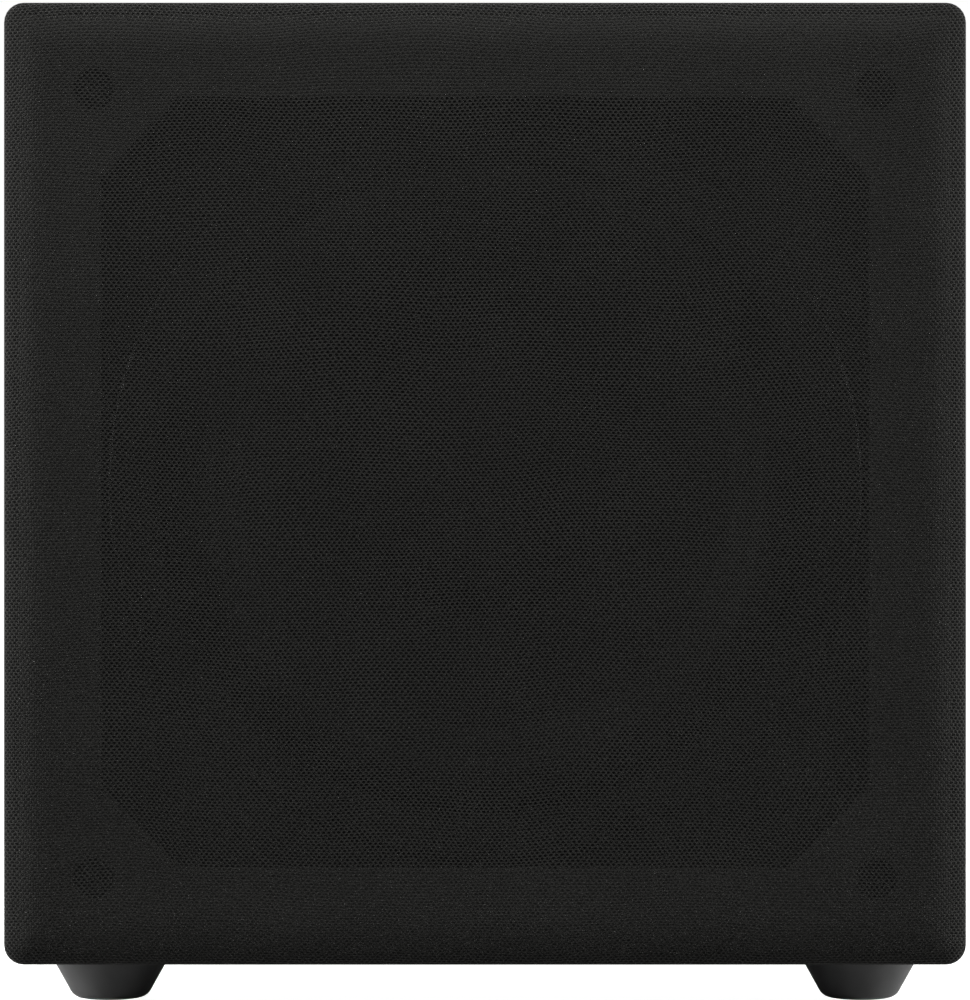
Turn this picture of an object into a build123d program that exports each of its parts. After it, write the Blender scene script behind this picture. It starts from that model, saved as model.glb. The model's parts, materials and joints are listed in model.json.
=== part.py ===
from build123d import *

# A compact sealed powered subwoofer: mitred cabinet, ten-inch driver, plate amplifier, cloth grille.
# Frame: millimetres, origin on the floor under the middle of the box, +X to the right as seen from
# the front, +Y from the front grille to the rear amplifier, +Z up.

import os
from math import atan2, cos, degrees, hypot, pi, radians, sin, tan

# ---------------------------------------------------------------- driving dimensions
GRILLE_SIZE = 330.0  # width and height of the cloth-covered front
TOTAL_DEPTH = 356.0  # cloth front to the knobs' ends
FOOT_HEIGHT = 17.5  # floor to the cabinet's underside
CABINET_SIZE = 328.0  # the box is 1 mm inside the grille all round
CABINET_DEPTH = 320.0
CABINET_CORNER = 7.0
WALL = 16.0
BAFFLE_THICKNESS = 25.0
BACK_THICKNESS = 18.0

GRILLE_DEPTH = 18.0  # cloth front to the baffle

FRONT_Y = -TOTAL_DEPTH / 2
BAFFLE_Y = FRONT_Y + GRILLE_DEPTH  # the baffle's front face
BACK_Y = BAFFLE_Y + CABINET_DEPTH  # the back panel's rear face
REAR_Y = TOTAL_DEPTH / 2  # the knobs' ends
AXIS_Z = FOOT_HEIGHT + CABINET_SIZE / 2  # the driver's axis
INNER = CABINET_SIZE - 2 * WALL

# Grille
CLOTH = 0.8
GRILLE_CORNER = 6.8
BEVEL_WIDTH = 18.0
BEVEL_DEPTH = 3.0
BEVEL_CURVE = 2.5  # 1 is a straight bevel, more is rounder
BEVEL_STEPS = 4
CROWN_CORNER = 1.0  # corner radius where the bevel meets the flat front
EDGE_SOFTENING = 1.2
GRILLE_BACK_Y = BAFFLE_Y - 1.0
OPENING = 265.0
OPENING_CUT = 27.4  # leg of the opening's cut corners
HEM_WIDTH = 14.0
PEG_INSET_X = 31.0
PEG_INSET_Z = 30.0
PEG_BOSS_R = 6.8
PEG_STEM_R = 3.5
SOCKET_R = 6.0

# Driver: depths run back from the baffle's front face
RECESS_R = 131.5
RECESS_DEPTH = 9.0
CUTOUT_R = 118.0
BEZEL_R = 131.0
BEZEL_INNER_R = 113.0
BEZEL_FRONT = -1.0
FLANGE_R = 130.5
FLANGE_TOP = 4.0
FLANGE_BOTTOM = 8.0
LIP_INNER_R = 112.0
LIP_R = 120.0
LIP_THICKNESS = 1.2
SCREW_CIRCLE_R = 125.5
DRIVER_SCREWS = 8
ROLL_R = 10.0  # the surround's half roll, at mid wall
CONE_RIM_R = 92.0
CONE_EDGE_R = 84.0
CONE_NECK_R = 25.5
CONE_DEPTH = 44.0
CONE_WALL = 1.2
CAP_R = 46.0
CAP_RISE = 14.0
FORMER_TOP = 40.0
FORMER_BOTTOM = 96.0
FORMER_INNER_R = 25.0
COIL_TOP = 63.0
COIL_BOTTOM = 95.0
COIL_R = 27.6
SPIDER_DEPTH = 54.0
SPIDER_R = 76.0
SPIDER_RIDGES = 11
LEDGE_INNER_R = 70.0
PLATE_TOP = 74.0
PLATE_BOTTOM = 84.0
PLATE_R = 70.0
GAP_R = 28.6
MAGNET_R = 78.0
MAGNET_INNER_R = 45.0
MAGNET_RING = 20.0
MAGNET_RINGS = 2
YOKE_PLATE = 10.0
POLE_R = 24.0
POLE_TOP = 72.0
VENT_R = 10.0
SPOKES = 6
SPOKE_WIDTH = 15.0

# Amplifier: a plate let in over the back panel's cutout
PLATE_W = 200.0
PLATE_H = 250.0
PLATE_T = 3.0
PLATE_CORNER = 6.0
GASKET_T = 1.0
PLATE_Y = BACK_Y + GASKET_T  # the plate's inner face
PLATE_FACE_Y = PLATE_Y + PLATE_T
AMP_CUT_W = 176.0
AMP_CUT_H = 226.0
AMP_CUT_CORNER = 8.0

SINK_W, SINK_H = 150.0, 68.0
SINK_Z = AXIS_Z + 78.0
SINK_BASE = 3.0
SINK_TOP_Y = REAR_Y - 1.0
FINS = 16
FIN_T = 2.2

CONTROL_Z = AXIS_Z + 8.0
VOLUME_X = 62.0
CROSSOVER_X = 18.0
PHASE_X = -28.0
MODE_X = -66.0
LED_Z = CONTROL_Z + 20.0
SHAFT_R = 3.0
RUNNING = 0.05  # radial clearance of what turns or slides
KNOB_R = 10.0

JACK_X = (-34.0, -58.0)
JACK_Z = (AXIS_Z - 60.0, AXIS_Z - 36.0)
JACK_SHELL_R = 4.15
JACK_BORE_R = 1.6

INLET_X, INLET_Z = 58.0, AXIS_Z - 86.0
INLET_W, INLET_H = 31.0, 46.0
SOCKET_W, SOCKET_H, SOCKET_DEPTH = 24.4, 16.6, 17.0
SOCKET_Z = INLET_Z + 10.0
DRAWER_Z = INLET_Z - 14.0
DRAWER_W, DRAWER_H, DRAWER_L = 22.0, 9.0, 26.0

SWITCH_X, SWITCH_Z = 12.0, INLET_Z
SWITCH_W, SWITCH_H = 15.0, 21.0
ROCKER_TILT = 10.0

TOROID_X, TOROID_Y = -45.0, 90.0
TOROID_R, TOROID_T = 38.0, 38.0
TOROID_SCREW_R = 2.5
TOROID_SCREW_GRIP = 12.0


# ---------------------------------------------------------------- helpers
def face_block(width, height, y0, y1, x=0.0, z=AXIS_Z, corner=0.0):
    """A block with its section in the XZ plane, from y0 to y1, with rounded edges along Y."""
    outline = RectangleRounded(width, height, corner) if corner else Rectangle(width, height)
    return Pos(x, y1, z) * extrude(Plane.XZ * outline, amount=y1 - y0)


def rod(radius, y0, y1, x=0.0, z=AXIS_Z):
    """A cylinder along Y."""
    return Pos(x, y1, z) * extrude(Plane.XZ * Circle(radius), amount=y1 - y0)


def tube(outer, inner, y0, y1, x=0.0, z=AXIS_Z):
    """A straight tube along Y."""
    return Pos(x, y1, z) * extrude(Plane.XZ * (Circle(outer) - Circle(inner)), amount=y1 - y0)


def turned(section, x=0.0, z=AXIS_Z):
    """A section drawn as (radius, y) and turned about an axis along Y."""
    return Pos(x, 0, z) * revolve(section, Axis.Y)


def outline(*points):
    """A closed section from (radius, y) points."""
    return Polygon(*points, align=None)


def deep(depth):
    """The y of a depth behind the baffle's front face."""
    return BAFFLE_Y + depth


def deep_outline(*points):
    """A closed section from (radius, depth behind the baffle) points."""
    return outline(*[(r, deep(d)) for r, d in points])


def ring_places(count, radius, start=0.0):
    """(x, z) places spaced evenly on a circle round the driver's axis."""
    steps = [radians(start + 360.0 * i / count) for i in range(count)]
    return [(radius * cos(a), AXIS_Z + radius * sin(a)) for a in steps]


def union(shapes):
    """Separate or touching solids as one shape."""
    return Compound(children=list(shapes))


# ---------------------------------------------------------------- cabinet
def wrap_panel(turn):
    """One of the four mitred wall panels: a quarter of the rounded square ring."""
    ring = RectangleRounded(CABINET_SIZE, CABINET_SIZE, CABINET_CORNER) - Rectangle(INNER, INNER)
    reach = CABINET_SIZE
    quarter = Polygon((0, 0), (reach, reach), (-reach, reach), align=None)
    section = ring & (Rot(0, 0, turn) * quarter)
    return Pos(0, BACK_Y, AXIS_Z) * extrude(Plane.XZ * section, amount=CABINET_DEPTH)


def bottom_panel():
    """The underside, with a blind hole for each foot's screw and for the transformer's."""
    panel = wrap_panel(180)
    for x, y in foot_places():
        panel -= Pos(x, y, FOOT_HEIGHT) * Cylinder(
            FOOT_SCREW_R + RUNNING, FOOT_SCREW_GRIP, align=(Align.CENTER, Align.CENTER, Align.MIN)
        )
    panel -= Pos(TOROID_X, TOROID_Y, FOOT_HEIGHT + WALL) * Cylinder(
        TOROID_SCREW_R + RUNNING, TOROID_SCREW_GRIP, align=(Align.CENTER, Align.CENTER, Align.MAX)
    )
    return panel


def peg_places():
    """(x, z) of the four grille pegs."""
    half_x = GRILLE_SIZE / 2 - PEG_INSET_X
    half_z = GRILLE_SIZE / 2 - PEG_INSET_Z
    return [(sx * half_x, AXIS_Z + sz * half_z) for sz in (1, -1) for sx in (-1, 1)]


def front_baffle():
    """Inset board with the driver's stepped cutout, its screw holes and the grille's socket holes."""
    board = face_block(INNER, INNER, BAFFLE_Y, BAFFLE_Y + BAFFLE_THICKNESS)
    board -= rod(RECESS_R, BAFFLE_Y, deep(RECESS_DEPTH))
    board -= rod(CUTOUT_R, BAFFLE_Y, BAFFLE_Y + BAFFLE_THICKNESS)
    for x, z in ring_places(DRIVER_SCREWS, SCREW_CIRCLE_R, 22.5):
        board -= rod(DRIVER_SCREW_R + RUNNING, BAFFLE_Y, BAFFLE_Y + BAFFLE_THICKNESS, x, z)
    for x, z in peg_places():
        board -= rod(SOCKET_R + RUNNING, BAFFLE_Y, SOCKET_BOTTOM_Y, x, z)
    return board


def back_panel():
    """Inset rear board with the amplifier's cutout and its screw holes."""
    board = face_block(INNER, INNER, BACK_Y - BACK_THICKNESS, BACK_Y)
    board -= face_block(
        AMP_CUT_W, AMP_CUT_H, BACK_Y - BACK_THICKNESS, BACK_Y, corner=AMP_CUT_CORNER
    )
    for x, z in amp_screw_places():
        board -= rod(AMP_SCREW_R + RUNNING, AMP_SCREW_END_Y, BACK_Y, x, z)
    return board


BRACE_Y = 20.0
BRACE_T = 15.0
BRACE_RIM = 24.0


def window_brace():
    """A shelf round the inside of the walls that ties them together, open in the middle."""
    brace = face_block(INNER, INNER, BRACE_Y, BRACE_Y + BRACE_T)
    hole = INNER - 2 * BRACE_RIM
    return brace - face_block(hole, hole, BRACE_Y, BRACE_Y + BRACE_T, corner=30.0)


PAD_T = 18.0
PAD_HEIGHT = 270.0
PAD_GAP = 6.0


def damping_pads():
    """Two wadding pads on the side walls, behind the brace."""
    y0, y1 = BRACE_Y + BRACE_T + PAD_GAP, BACK_Y - BACK_THICKNESS - PAD_GAP
    pad = face_block(PAD_T, PAD_HEIGHT, y0, y1, corner=PAD_T / 3)
    inset = INNER / 2 - PAD_T / 2
    return union([Pos(side * inset, 0, 0) * pad for side in (-1, 1)])


# ---------------------------------------------------------------- feet
FOOT_INSET_X = 32.5  # foot axis in from the grille's side
FOOT_INSET_Y = 36.0  # and in from the cabinet's front and rear
FOOT_TOP_R = 22.5
FOOT_TAPER = 29.0  # degrees from upright
FOOT_EDGE = 4.8
FOOT_SCREW_R = 1.9
FOOT_SCREW_GRIP = 13.0
WASHER_R = 7.0
WASHER_T = 1.2
WASHER_Z = 6.0
FOOT_BORE_R = 7.2


def foot_places():
    """(x, y) of the feet: front left, front right, rear left, rear right."""
    x = GRILLE_SIZE / 2 - FOOT_INSET_X
    front, rear = BAFFLE_Y + FOOT_INSET_Y, BACK_Y - FOOT_INSET_Y
    return [(-x, front), (x, front), (-x, rear), (x, rear)]


def foot(x, y):
    """A tapered rubber foot with a soft lower edge, bored from below for its washer and screw."""
    base_r = FOOT_TOP_R - FOOT_HEIGHT * tan(radians(FOOT_TAPER))
    body = Cone(base_r, FOOT_TOP_R, FOOT_HEIGHT, align=(Align.CENTER, Align.CENTER, Align.MIN))
    body = fillet(body.edges().group_by(Axis.Z)[0], FOOT_EDGE)
    upward = (Align.CENTER, Align.CENTER, Align.MIN)
    body -= Cylinder(FOOT_BORE_R, WASHER_Z, align=upward)
    body -= Cylinder(FOOT_SCREW_R + 0.3, FOOT_HEIGHT, align=upward)
    return Pos(x, y, 0) * body


def foot_hardware():
    """For each foot, a steel washer in the bore and a pan-head screw up into the cabinet."""
    upward = (Align.CENTER, Align.CENTER, Align.MIN)
    washer = Cylinder(WASHER_R, WASHER_T, align=upward) - Cylinder(
        FOOT_SCREW_R + 0.2, WASHER_T, align=upward
    )
    head_t, head_r = 2.4, 3.9
    head = Cylinder(head_r, head_t, align=upward)
    head = fillet(head.edges().group_by(Axis.Z)[0], 1.0)
    head -= Box(5.2, 1.0, 1.1, align=upward) + Box(1.0, 5.2, 1.1, align=upward)
    washer_base = WASHER_Z - WASHER_T
    length = FOOT_HEIGHT + FOOT_SCREW_GRIP - 1.0 - washer_base
    shank = Cylinder(FOOT_SCREW_R, length, align=upward)
    screw = Pos(0, 0, washer_base - head_t) * head + Pos(0, 0, washer_base) * shank
    pieces = []
    for x, y in foot_places():
        pieces.append(Pos(x, y, washer_base) * washer)
        pieces.append(Pos(x, y, 0) * screw)
    return union(pieces)


# ---------------------------------------------------------------- grille
FRAME_SIZE = GRILLE_SIZE - 2 * CLOTH
FRAME_FRONT_Y = FRONT_Y + CLOTH
FRAME_BACK_Y = GRILLE_BACK_Y - CLOTH
SHOULDER_Y = FRAME_FRONT_Y + BEVEL_DEPTH + EDGE_SOFTENING  # where the straight sides start
SOCKET_BORE_BOTTOM_Y = BAFFLE_Y + 12.5
SOCKET_BOTTOM_Y = BAFFLE_Y + 14.0


def square_at(size, corner, y):
    """A rounded square across the Y axis."""
    return Pos(0, y, AXIS_Z) * (Plane.XZ * RectangleRounded(size, size, corner))


def bevelled_front(grow):
    """The grille's front from the straight sides forward, grown outwards by a cloth's thickness.

    The bevel gets steeper towards the edge, in a few flat steps.
    """
    size = FRAME_SIZE + 2 * grow
    side_corner = GRILLE_CORNER - CLOTH + grow
    stations = [square_at(size, side_corner, SHOULDER_Y)]
    for step in range(BEVEL_STEPS + 1):
        share = step / BEVEL_STEPS
        inset = EDGE_SOFTENING + share * (BEVEL_WIDTH - EDGE_SOFTENING)
        corner = (1 - share) * (side_corner - EDGE_SOFTENING) + share * CROWN_CORNER
        y = FRAME_FRONT_Y + BEVEL_DEPTH * (1 - share) ** BEVEL_CURVE - grow * (1 + share) / 2
        stations.append(square_at(size - 2 * inset, corner, y))
    front = loft(stations[:2], ruled=True)
    for pair in zip(stations[1:], stations[2:]):
        front += loft(list(pair), ruled=True)
    return front


def grille_opening():
    """The frame's window: a square with its corners cut."""
    half, cut = OPENING / 2, OPENING_CUT
    corners = []
    for sx, sz in ((1, 1), (-1, 1), (-1, -1), (1, -1)):
        a, b = (sx * half, sz * (half - cut)), (sx * (half - cut), sz * half)
        corners += [a, b] if sx * sz > 0 else [b, a]
    return Polygon(*corners, align=None)


def grille_frame():
    """A board frame with a bevelled front, a cut-cornered window and a hole for each peg."""
    frame = bevelled_front(0.0)
    frame += face_block(
        FRAME_SIZE, FRAME_SIZE, SHOULDER_Y, FRAME_BACK_Y, corner=GRILLE_CORNER - CLOTH
    )
    depth = FRAME_BACK_Y - FRONT_Y
    frame -= Pos(0, FRAME_BACK_Y, AXIS_Z) * extrude(Plane.XZ * grille_opening(), amount=depth)
    for x, z in peg_places():
        frame -= rod(PEG_BOSS_R + RUNNING, FRONT_Y, FRAME_BACK_Y, x, z)
    return frame


def grille_cloth():
    """The stretched cloth's front sheet, following the bevel."""
    return bevelled_front(CLOTH) - bevelled_front(0.0)


def cloth_hem():
    """The cloth turned over the frame's sides and on to its back."""
    corner = GRILLE_CORNER
    side = face_block(GRILLE_SIZE, GRILLE_SIZE, SHOULDER_Y, GRILLE_BACK_Y, corner=corner)
    side -= face_block(
        FRAME_SIZE, FRAME_SIZE, SHOULDER_Y, FRAME_BACK_Y, corner=GRILLE_CORNER - CLOTH
    )
    inner = GRILLE_SIZE - 2 * HEM_WIDTH
    return side - face_block(inner, inner, FRAME_BACK_Y, GRILLE_BACK_Y)


PEG_FRONT_Y = FRONT_Y + 2.0
PEG_END_Y = BAFFLE_Y + 11.0


def grille_pegs():
    """Four pegs: a round boss held in the frame and a split, round-ended stem."""
    boss = rod(PEG_BOSS_R, PEG_FRONT_Y, GRILLE_BACK_Y - 0.1, 0, 0)
    boss = fillet(boss.edges().filter_by(GeomType.CIRCLE), 0.6)
    stem = rod(PEG_STEM_R, GRILLE_BACK_Y - 0.1, PEG_END_Y, 0, 0)
    stem = fillet(stem.edges().group_by(Axis.Y)[-1], PEG_STEM_R * 0.6)
    slot_length = 9.0
    slot = Pos(0, PEG_END_Y - slot_length / 2, 0) * Box(1.0, slot_length, 2 * PEG_STEM_R)
    peg = boss + (stem - slot)
    return union([Pos(x, 0, z) * peg for x, z in peg_places()])


def grille_sockets():
    """Four rubber cups pressed into the baffle, whose rims keep the grille off it."""
    rim_r = 7.5
    cup = turned(
        outline(
            (PEG_STEM_R + RUNNING, GRILLE_BACK_Y),
            (rim_r - 0.4, GRILLE_BACK_Y),
            (rim_r, GRILLE_BACK_Y + 0.4),
            (rim_r, BAFFLE_Y),
            (SOCKET_R, BAFFLE_Y),
            (SOCKET_R, SOCKET_BOTTOM_Y),
            (0, SOCKET_BOTTOM_Y),
            (0, SOCKET_BORE_BOTTOM_Y),
            (PEG_STEM_R + RUNNING, SOCKET_BORE_BOTTOM_Y),
        ),
        z=0,
    )
    return union([Pos(x, 0, z) * cup for x, z in peg_places()])


# ---------------------------------------------------------------- driver, fixed pieces
DRIVER_SCREW_R = 2.5
SCREW_HEAD_R = 4.6
SCREW_HEAD_TOP = -0.8
SCREW_HEAD_BASE = 2.0
DRIVER_SCREW_END = 24.0


def driver_bezel():
    """The ring over the basket's flange, stepped for the surround's lip and bored for the screws."""
    section = deep_outline(
        (BEZEL_INNER_R, BEZEL_FRONT + 1.2),
        (BEZEL_INNER_R + 1.2, BEZEL_FRONT),
        (BEZEL_R - 1.5, BEZEL_FRONT),
        (BEZEL_R, BEZEL_FRONT + 1.5),
        (BEZEL_R, FLANGE_TOP),
        (LIP_R, FLANGE_TOP),
        (LIP_R, FLANGE_TOP - LIP_THICKNESS),
        (BEZEL_INNER_R, FLANGE_TOP - LIP_THICKNESS),
    )
    ring = turned(section)
    for x, z in ring_places(DRIVER_SCREWS, SCREW_CIRCLE_R, 22.5):
        ring -= rod(SCREW_HEAD_R + 0.3, deep(BEZEL_FRONT), deep(SCREW_HEAD_BASE), x, z)
        ring -= rod(DRIVER_SCREW_R + 0.2, deep(BEZEL_FRONT), deep(FLANGE_TOP), x, z)
    return ring


BASKET_WALL = 3.0
SPIDER_T = 0.8
LEDGE_DEPTH = SPIDER_DEPTH + SPIDER_T
SPOKE_TOP = (LIP_INNER_R + BASKET_WALL, 20.0)  # (radius, depth) of a spoke's outer side
SPOKE_END = (SPIDER_R + 2 * BASKET_WALL, LEDGE_DEPTH)


def basket_section():
    """Half section of the cast basket before its windows are cut."""
    wall = BASKET_WALL
    return deep_outline(
        (LIP_INNER_R, FLANGE_TOP),
        (FLANGE_R, FLANGE_TOP),
        (FLANGE_R, FLANGE_BOTTOM),
        (SPOKE_TOP[0], FLANGE_BOTTOM),
        SPOKE_TOP,
        SPOKE_END,
        (SPOKE_END[0], LEDGE_DEPTH + 2 * wall),
        (62, PLATE_TOP),
        (40, PLATE_TOP),
        (40, PLATE_TOP - wall),
        (60, PLATE_TOP - wall),
        (SPIDER_R - 2, LEDGE_DEPTH + wall),
        (LEDGE_INNER_R, LEDGE_DEPTH + wall),
        (LEDGE_INNER_R, LEDGE_DEPTH),
        (SPIDER_R + wall, LEDGE_DEPTH),
        (SPIDER_R + wall, LEDGE_DEPTH - wall),
        (LIP_INNER_R, SPOKE_TOP[1] - 1),
    )


def driver_basket():
    """Cast basket: flange, six spokes, the spider's ledge and the seat on the front plate."""
    basket = turned(basket_section())
    window_top, window_end = deep(SPOKE_TOP[1] + 2), deep(LEDGE_DEPTH - BASKET_WALL)
    foot_top, foot_end = deep(LEDGE_DEPTH + 2 * BASKET_WALL), deep(PLATE_TOP - BASKET_WALL)
    reach = 2 * LIP_R
    half = SPOKE_WIDTH / 2
    for i in range(SPOKES):
        middle = radians(60.0 * i + 30.0)
        # Between two spokes the window is a wedge whose sides run parallel to them.
        apex = half / sin(pi / SPOKES)
        spread = pi / SPOKES
        tips = [(apex * cos(middle), apex * sin(middle))]
        tips += [
            (apex * cos(middle) + reach * cos(middle + s), apex * sin(middle) + reach * sin(middle + s))
            for s in (-spread, spread)
        ]
        # A sketch laid in the XZ plane keeps its second coordinate as height.
        wedge = Plane.XZ * Polygon(*tips, align=None)
        for y0, y1 in ((window_top, window_end), (foot_top, foot_end)):
            basket -= Pos(0, y1, AXIS_Z) * extrude(wedge, amount=y1 - y0)
    for x, z in ring_places(DRIVER_SCREWS, SCREW_CIRCLE_R, 22.5):
        basket -= rod(DRIVER_SCREW_R + 0.2, deep(FLANGE_TOP), deep(FLANGE_BOTTOM), x, z)
    return basket - terminal_seat() * board_blank(2 * BASKET_WALL)


def driver_gasket():
    """Foam ring between the flange and the baffle's recess."""
    ring = tube(FLANGE_R, CUTOUT_R + 1, deep(FLANGE_BOTTOM), deep(RECESS_DEPTH))
    for x, z in ring_places(DRIVER_SCREWS, SCREW_CIRCLE_R, 22.5):
        ring -= rod(DRIVER_SCREW_R + 0.2, deep(FLANGE_BOTTOM), deep(RECESS_DEPTH), x, z)
    return ring


def socket_screw():
    """A button-head screw with a hexagon socket, along Y at the origin of X and Z."""
    head = rod(SCREW_HEAD_R, deep(SCREW_HEAD_TOP), deep(SCREW_HEAD_BASE), 0, 0)
    head = fillet(head.edges().group_by(Axis.Y)[0], 1.6)
    socket = Plane.XZ * RegularPolygon(1.9, 6)
    head -= Pos(0, deep(SCREW_HEAD_TOP) + 1.7, 0) * extrude(socket, amount=1.7)
    return head + rod(DRIVER_SCREW_R, deep(SCREW_HEAD_BASE), deep(DRIVER_SCREW_END), 0, 0)


def driver_screws():
    """The eight screws through bezel, flange and gasket into the baffle."""
    places = ring_places(DRIVER_SCREWS, SCREW_CIRCLE_R, 22.5)
    return union([Pos(x, 0, z) * socket_screw() for x, z in places])


def front_plate():
    """Steel ring that forms the outer side of the magnetic gap."""
    ring = tube(PLATE_R, GAP_R, deep(PLATE_TOP), deep(PLATE_BOTTOM))
    return chamfer(ring.edges().filter_by(GeomType.CIRCLE).group_by(SortBy.RADIUS)[-1], 1.0)


def magnet_rings():
    """Stacked ferrite rings."""
    rings = []
    for i in range(MAGNET_RINGS):
        y0 = deep(PLATE_BOTTOM + i * MAGNET_RING)
        ring = tube(MAGNET_R, MAGNET_INNER_R, y0, y0 + MAGNET_RING)
        rings.append(chamfer(ring.edges().filter_by(GeomType.CIRCLE), 1.0))
    return union(rings)


MAGNET_BOTTOM = PLATE_BOTTOM + MAGNET_RINGS * MAGNET_RING


def pole_yoke():
    """Back plate and vented pole piece turned as one, with a flared vent."""
    end = MAGNET_BOTTOM + YOKE_PLATE
    section = deep_outline(
        (VENT_R, POLE_TOP + 2),
        (VENT_R + 2, POLE_TOP),
        (POLE_R, POLE_TOP),
        (POLE_R, MAGNET_BOTTOM),
        (PLATE_R, MAGNET_BOTTOM),
        (PLATE_R, end - 3),
        (PLATE_R - 3, end),
        (VENT_R + 6, end),
        (VENT_R, end - 8),
    )
    return turned(section)


TERMINAL_ALONG = 0.45  # how far down its spoke the terminal board sits
TERMINAL_SPREAD = 11.0  # each lug above or below the spoke's middle
TERMINAL_T = 3.0
LUG_L = 8.0
STUB_L = 4.0


def terminal_seat():
    """The terminal board's place: local +X points out of the sloping spoke on the driver's right."""
    (r0, d0), (r1, d1) = SPOKE_TOP, SPOKE_END
    radius = r0 + TERMINAL_ALONG * (r1 - r0)
    depth = d0 + TERMINAL_ALONG * (d1 - d0)
    slope = degrees(atan2(r0 - r1, d1 - d0))
    let_in = 0.6
    return Pos(radius, deep(depth), AXIS_Z) * Rot(0, 0, slope) * Pos(-let_in, 0, 0)


def board_blank(thickness):
    """A block with the terminal board's outline, standing on its seat."""
    return Pos(thickness / 2, 0, 0) * Box(thickness, 12, 2 * TERMINAL_SPREAD + 9)


def terminal_point(distance, side):
    """A point on a lug's or stub's axis, at a distance out from the seat."""
    return (terminal_seat() * Pos(distance, 0, side * TERMINAL_SPREAD)).position


def driver_terminals():
    """A terminal board on one spoke: a push-on lug and a lead's stub for each polarity."""
    pieces = [board_blank(TERMINAL_T)]
    for side in (-1, 1):
        z = side * TERMINAL_SPREAD
        pieces.append(Pos(TERMINAL_T + LUG_L / 2, 0, z) * Box(LUG_L, 6.3, 0.8))
        pieces.append(Pos(-STUB_L / 2, 0, z) * Box(STUB_L, 4, 0.8))
    return terminal_seat() * union(pieces)


# ---------------------------------------------------------------- driver, moving and bending pieces
def surround():
    """Rubber half-roll surround with a flat lip on each side."""
    middle_r = (LIP_INNER_R + CONE_RIM_R) / 2
    middle_d = FLANGE_TOP - LIP_THICKNESS / 2
    half = LIP_THICKNESS / 2
    centre = Pos(middle_r, deep(middle_d), 0)
    front_half = centre * (Pos(0, -2 * ROLL_R) * Rectangle(4 * ROLL_R, 4 * ROLL_R))
    roll = (centre * (Circle(ROLL_R + half) - Circle(ROLL_R - half))) & front_half
    lips = [
        Pos((a + b) / 2, deep(middle_d)) * Rectangle(b - a, LIP_THICKNESS)
        for a, b in ((LIP_INNER_R - half, LIP_R - 0.5), (CONE_EDGE_R + 1, CONE_RIM_R + half))
    ]
    return turned(roll + lips[0] + lips[1])


CONE_SLOPE = (CONE_DEPTH - FLANGE_TOP) / (CONE_EDGE_R - CONE_NECK_R)


def cone_depth(radius):
    """Depth of the cone's front surface at a radius."""
    return FLANGE_TOP + (CONE_EDGE_R - radius) * CONE_SLOPE


def cone():
    """Straight-sided cone with a flat rim under the surround's lip and a neck on the coil former."""
    back = CONE_WALL * hypot(1, CONE_SLOPE)
    neck_end = CONE_DEPTH + 5
    return turned(
        deep_outline(
            (CONE_RIM_R, FLANGE_TOP),
            (CONE_EDGE_R, FLANGE_TOP),
            (CONE_NECK_R, CONE_DEPTH),
            (CONE_NECK_R, neck_end),
            (CONE_NECK_R + CONE_WALL, neck_end),
            (CONE_NECK_R + CONE_WALL, CONE_DEPTH + back - CONE_WALL * CONE_SLOPE),
            (CONE_EDGE_R, FLANGE_TOP + back),
            (CONE_RIM_R, FLANGE_TOP + back),
        )
    )


def dust_cap():
    """A domed cap, part of a thin sphere, whose rim lies on the cone."""
    wall = 1.0
    rim_depth = cone_depth(CAP_R)
    sphere_r = (CAP_R**2 + CAP_RISE**2) / (2 * CAP_RISE)
    middle_y = deep(rim_depth - CAP_RISE) + sphere_r
    shell = Pos(0, middle_y, AXIS_Z) * (Sphere(sphere_r) - Sphere(sphere_r - wall))
    dome = shell & rod(CAP_R, deep(rim_depth - CAP_RISE), deep(rim_depth + 2 * wall))
    behind_cone = turned(
        deep_outline(
            (0, CONE_DEPTH),
            (0, 2 * CONE_DEPTH),
            (CONE_EDGE_R, 2 * CONE_DEPTH),
            (CONE_EDGE_R, FLANGE_TOP),
            (CONE_NECK_R, CONE_DEPTH),
        )
    )
    return dome - behind_cone


def coil_former():
    """Thin tube that carries the coil and joins the cone's neck."""
    return tube(CONE_NECK_R, FORMER_INNER_R, deep(FORMER_TOP), deep(FORMER_BOTTOM))


def voice_coil():
    """The wound coil on the former."""
    coil = tube(COIL_R, CONE_NECK_R, deep(COIL_TOP), deep(COIL_BOTTOM))
    return fillet(coil.edges().filter_by(GeomType.CIRCLE).group_by(SortBy.RADIUS)[-1], 0.6)


def spider():
    """Corrugated centring disc between the former and the basket's ledge."""
    swing = 2.0
    flat_in, flat_out = CONE_NECK_R + 4, LEDGE_INNER_R - 3
    steps = 2 * SPIDER_RIDGES
    pitch = (flat_out - flat_in) / steps
    wave = [
        (flat_in + i * pitch, SPIDER_DEPTH + (0 if i in (0, steps) else swing * (-1) ** i))
        for i in range(steps + 1)
    ]
    front = [(CONE_NECK_R, SPIDER_DEPTH)] + wave + [(SPIDER_R, SPIDER_DEPTH)]
    rear = [(r, d + SPIDER_T) for r, d in reversed(front)]
    return turned(deep_outline(*(front + rear)))


LEAD_R = 0.9
LEAD_END_R = 60.0  # where the leads meet the cone


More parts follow.
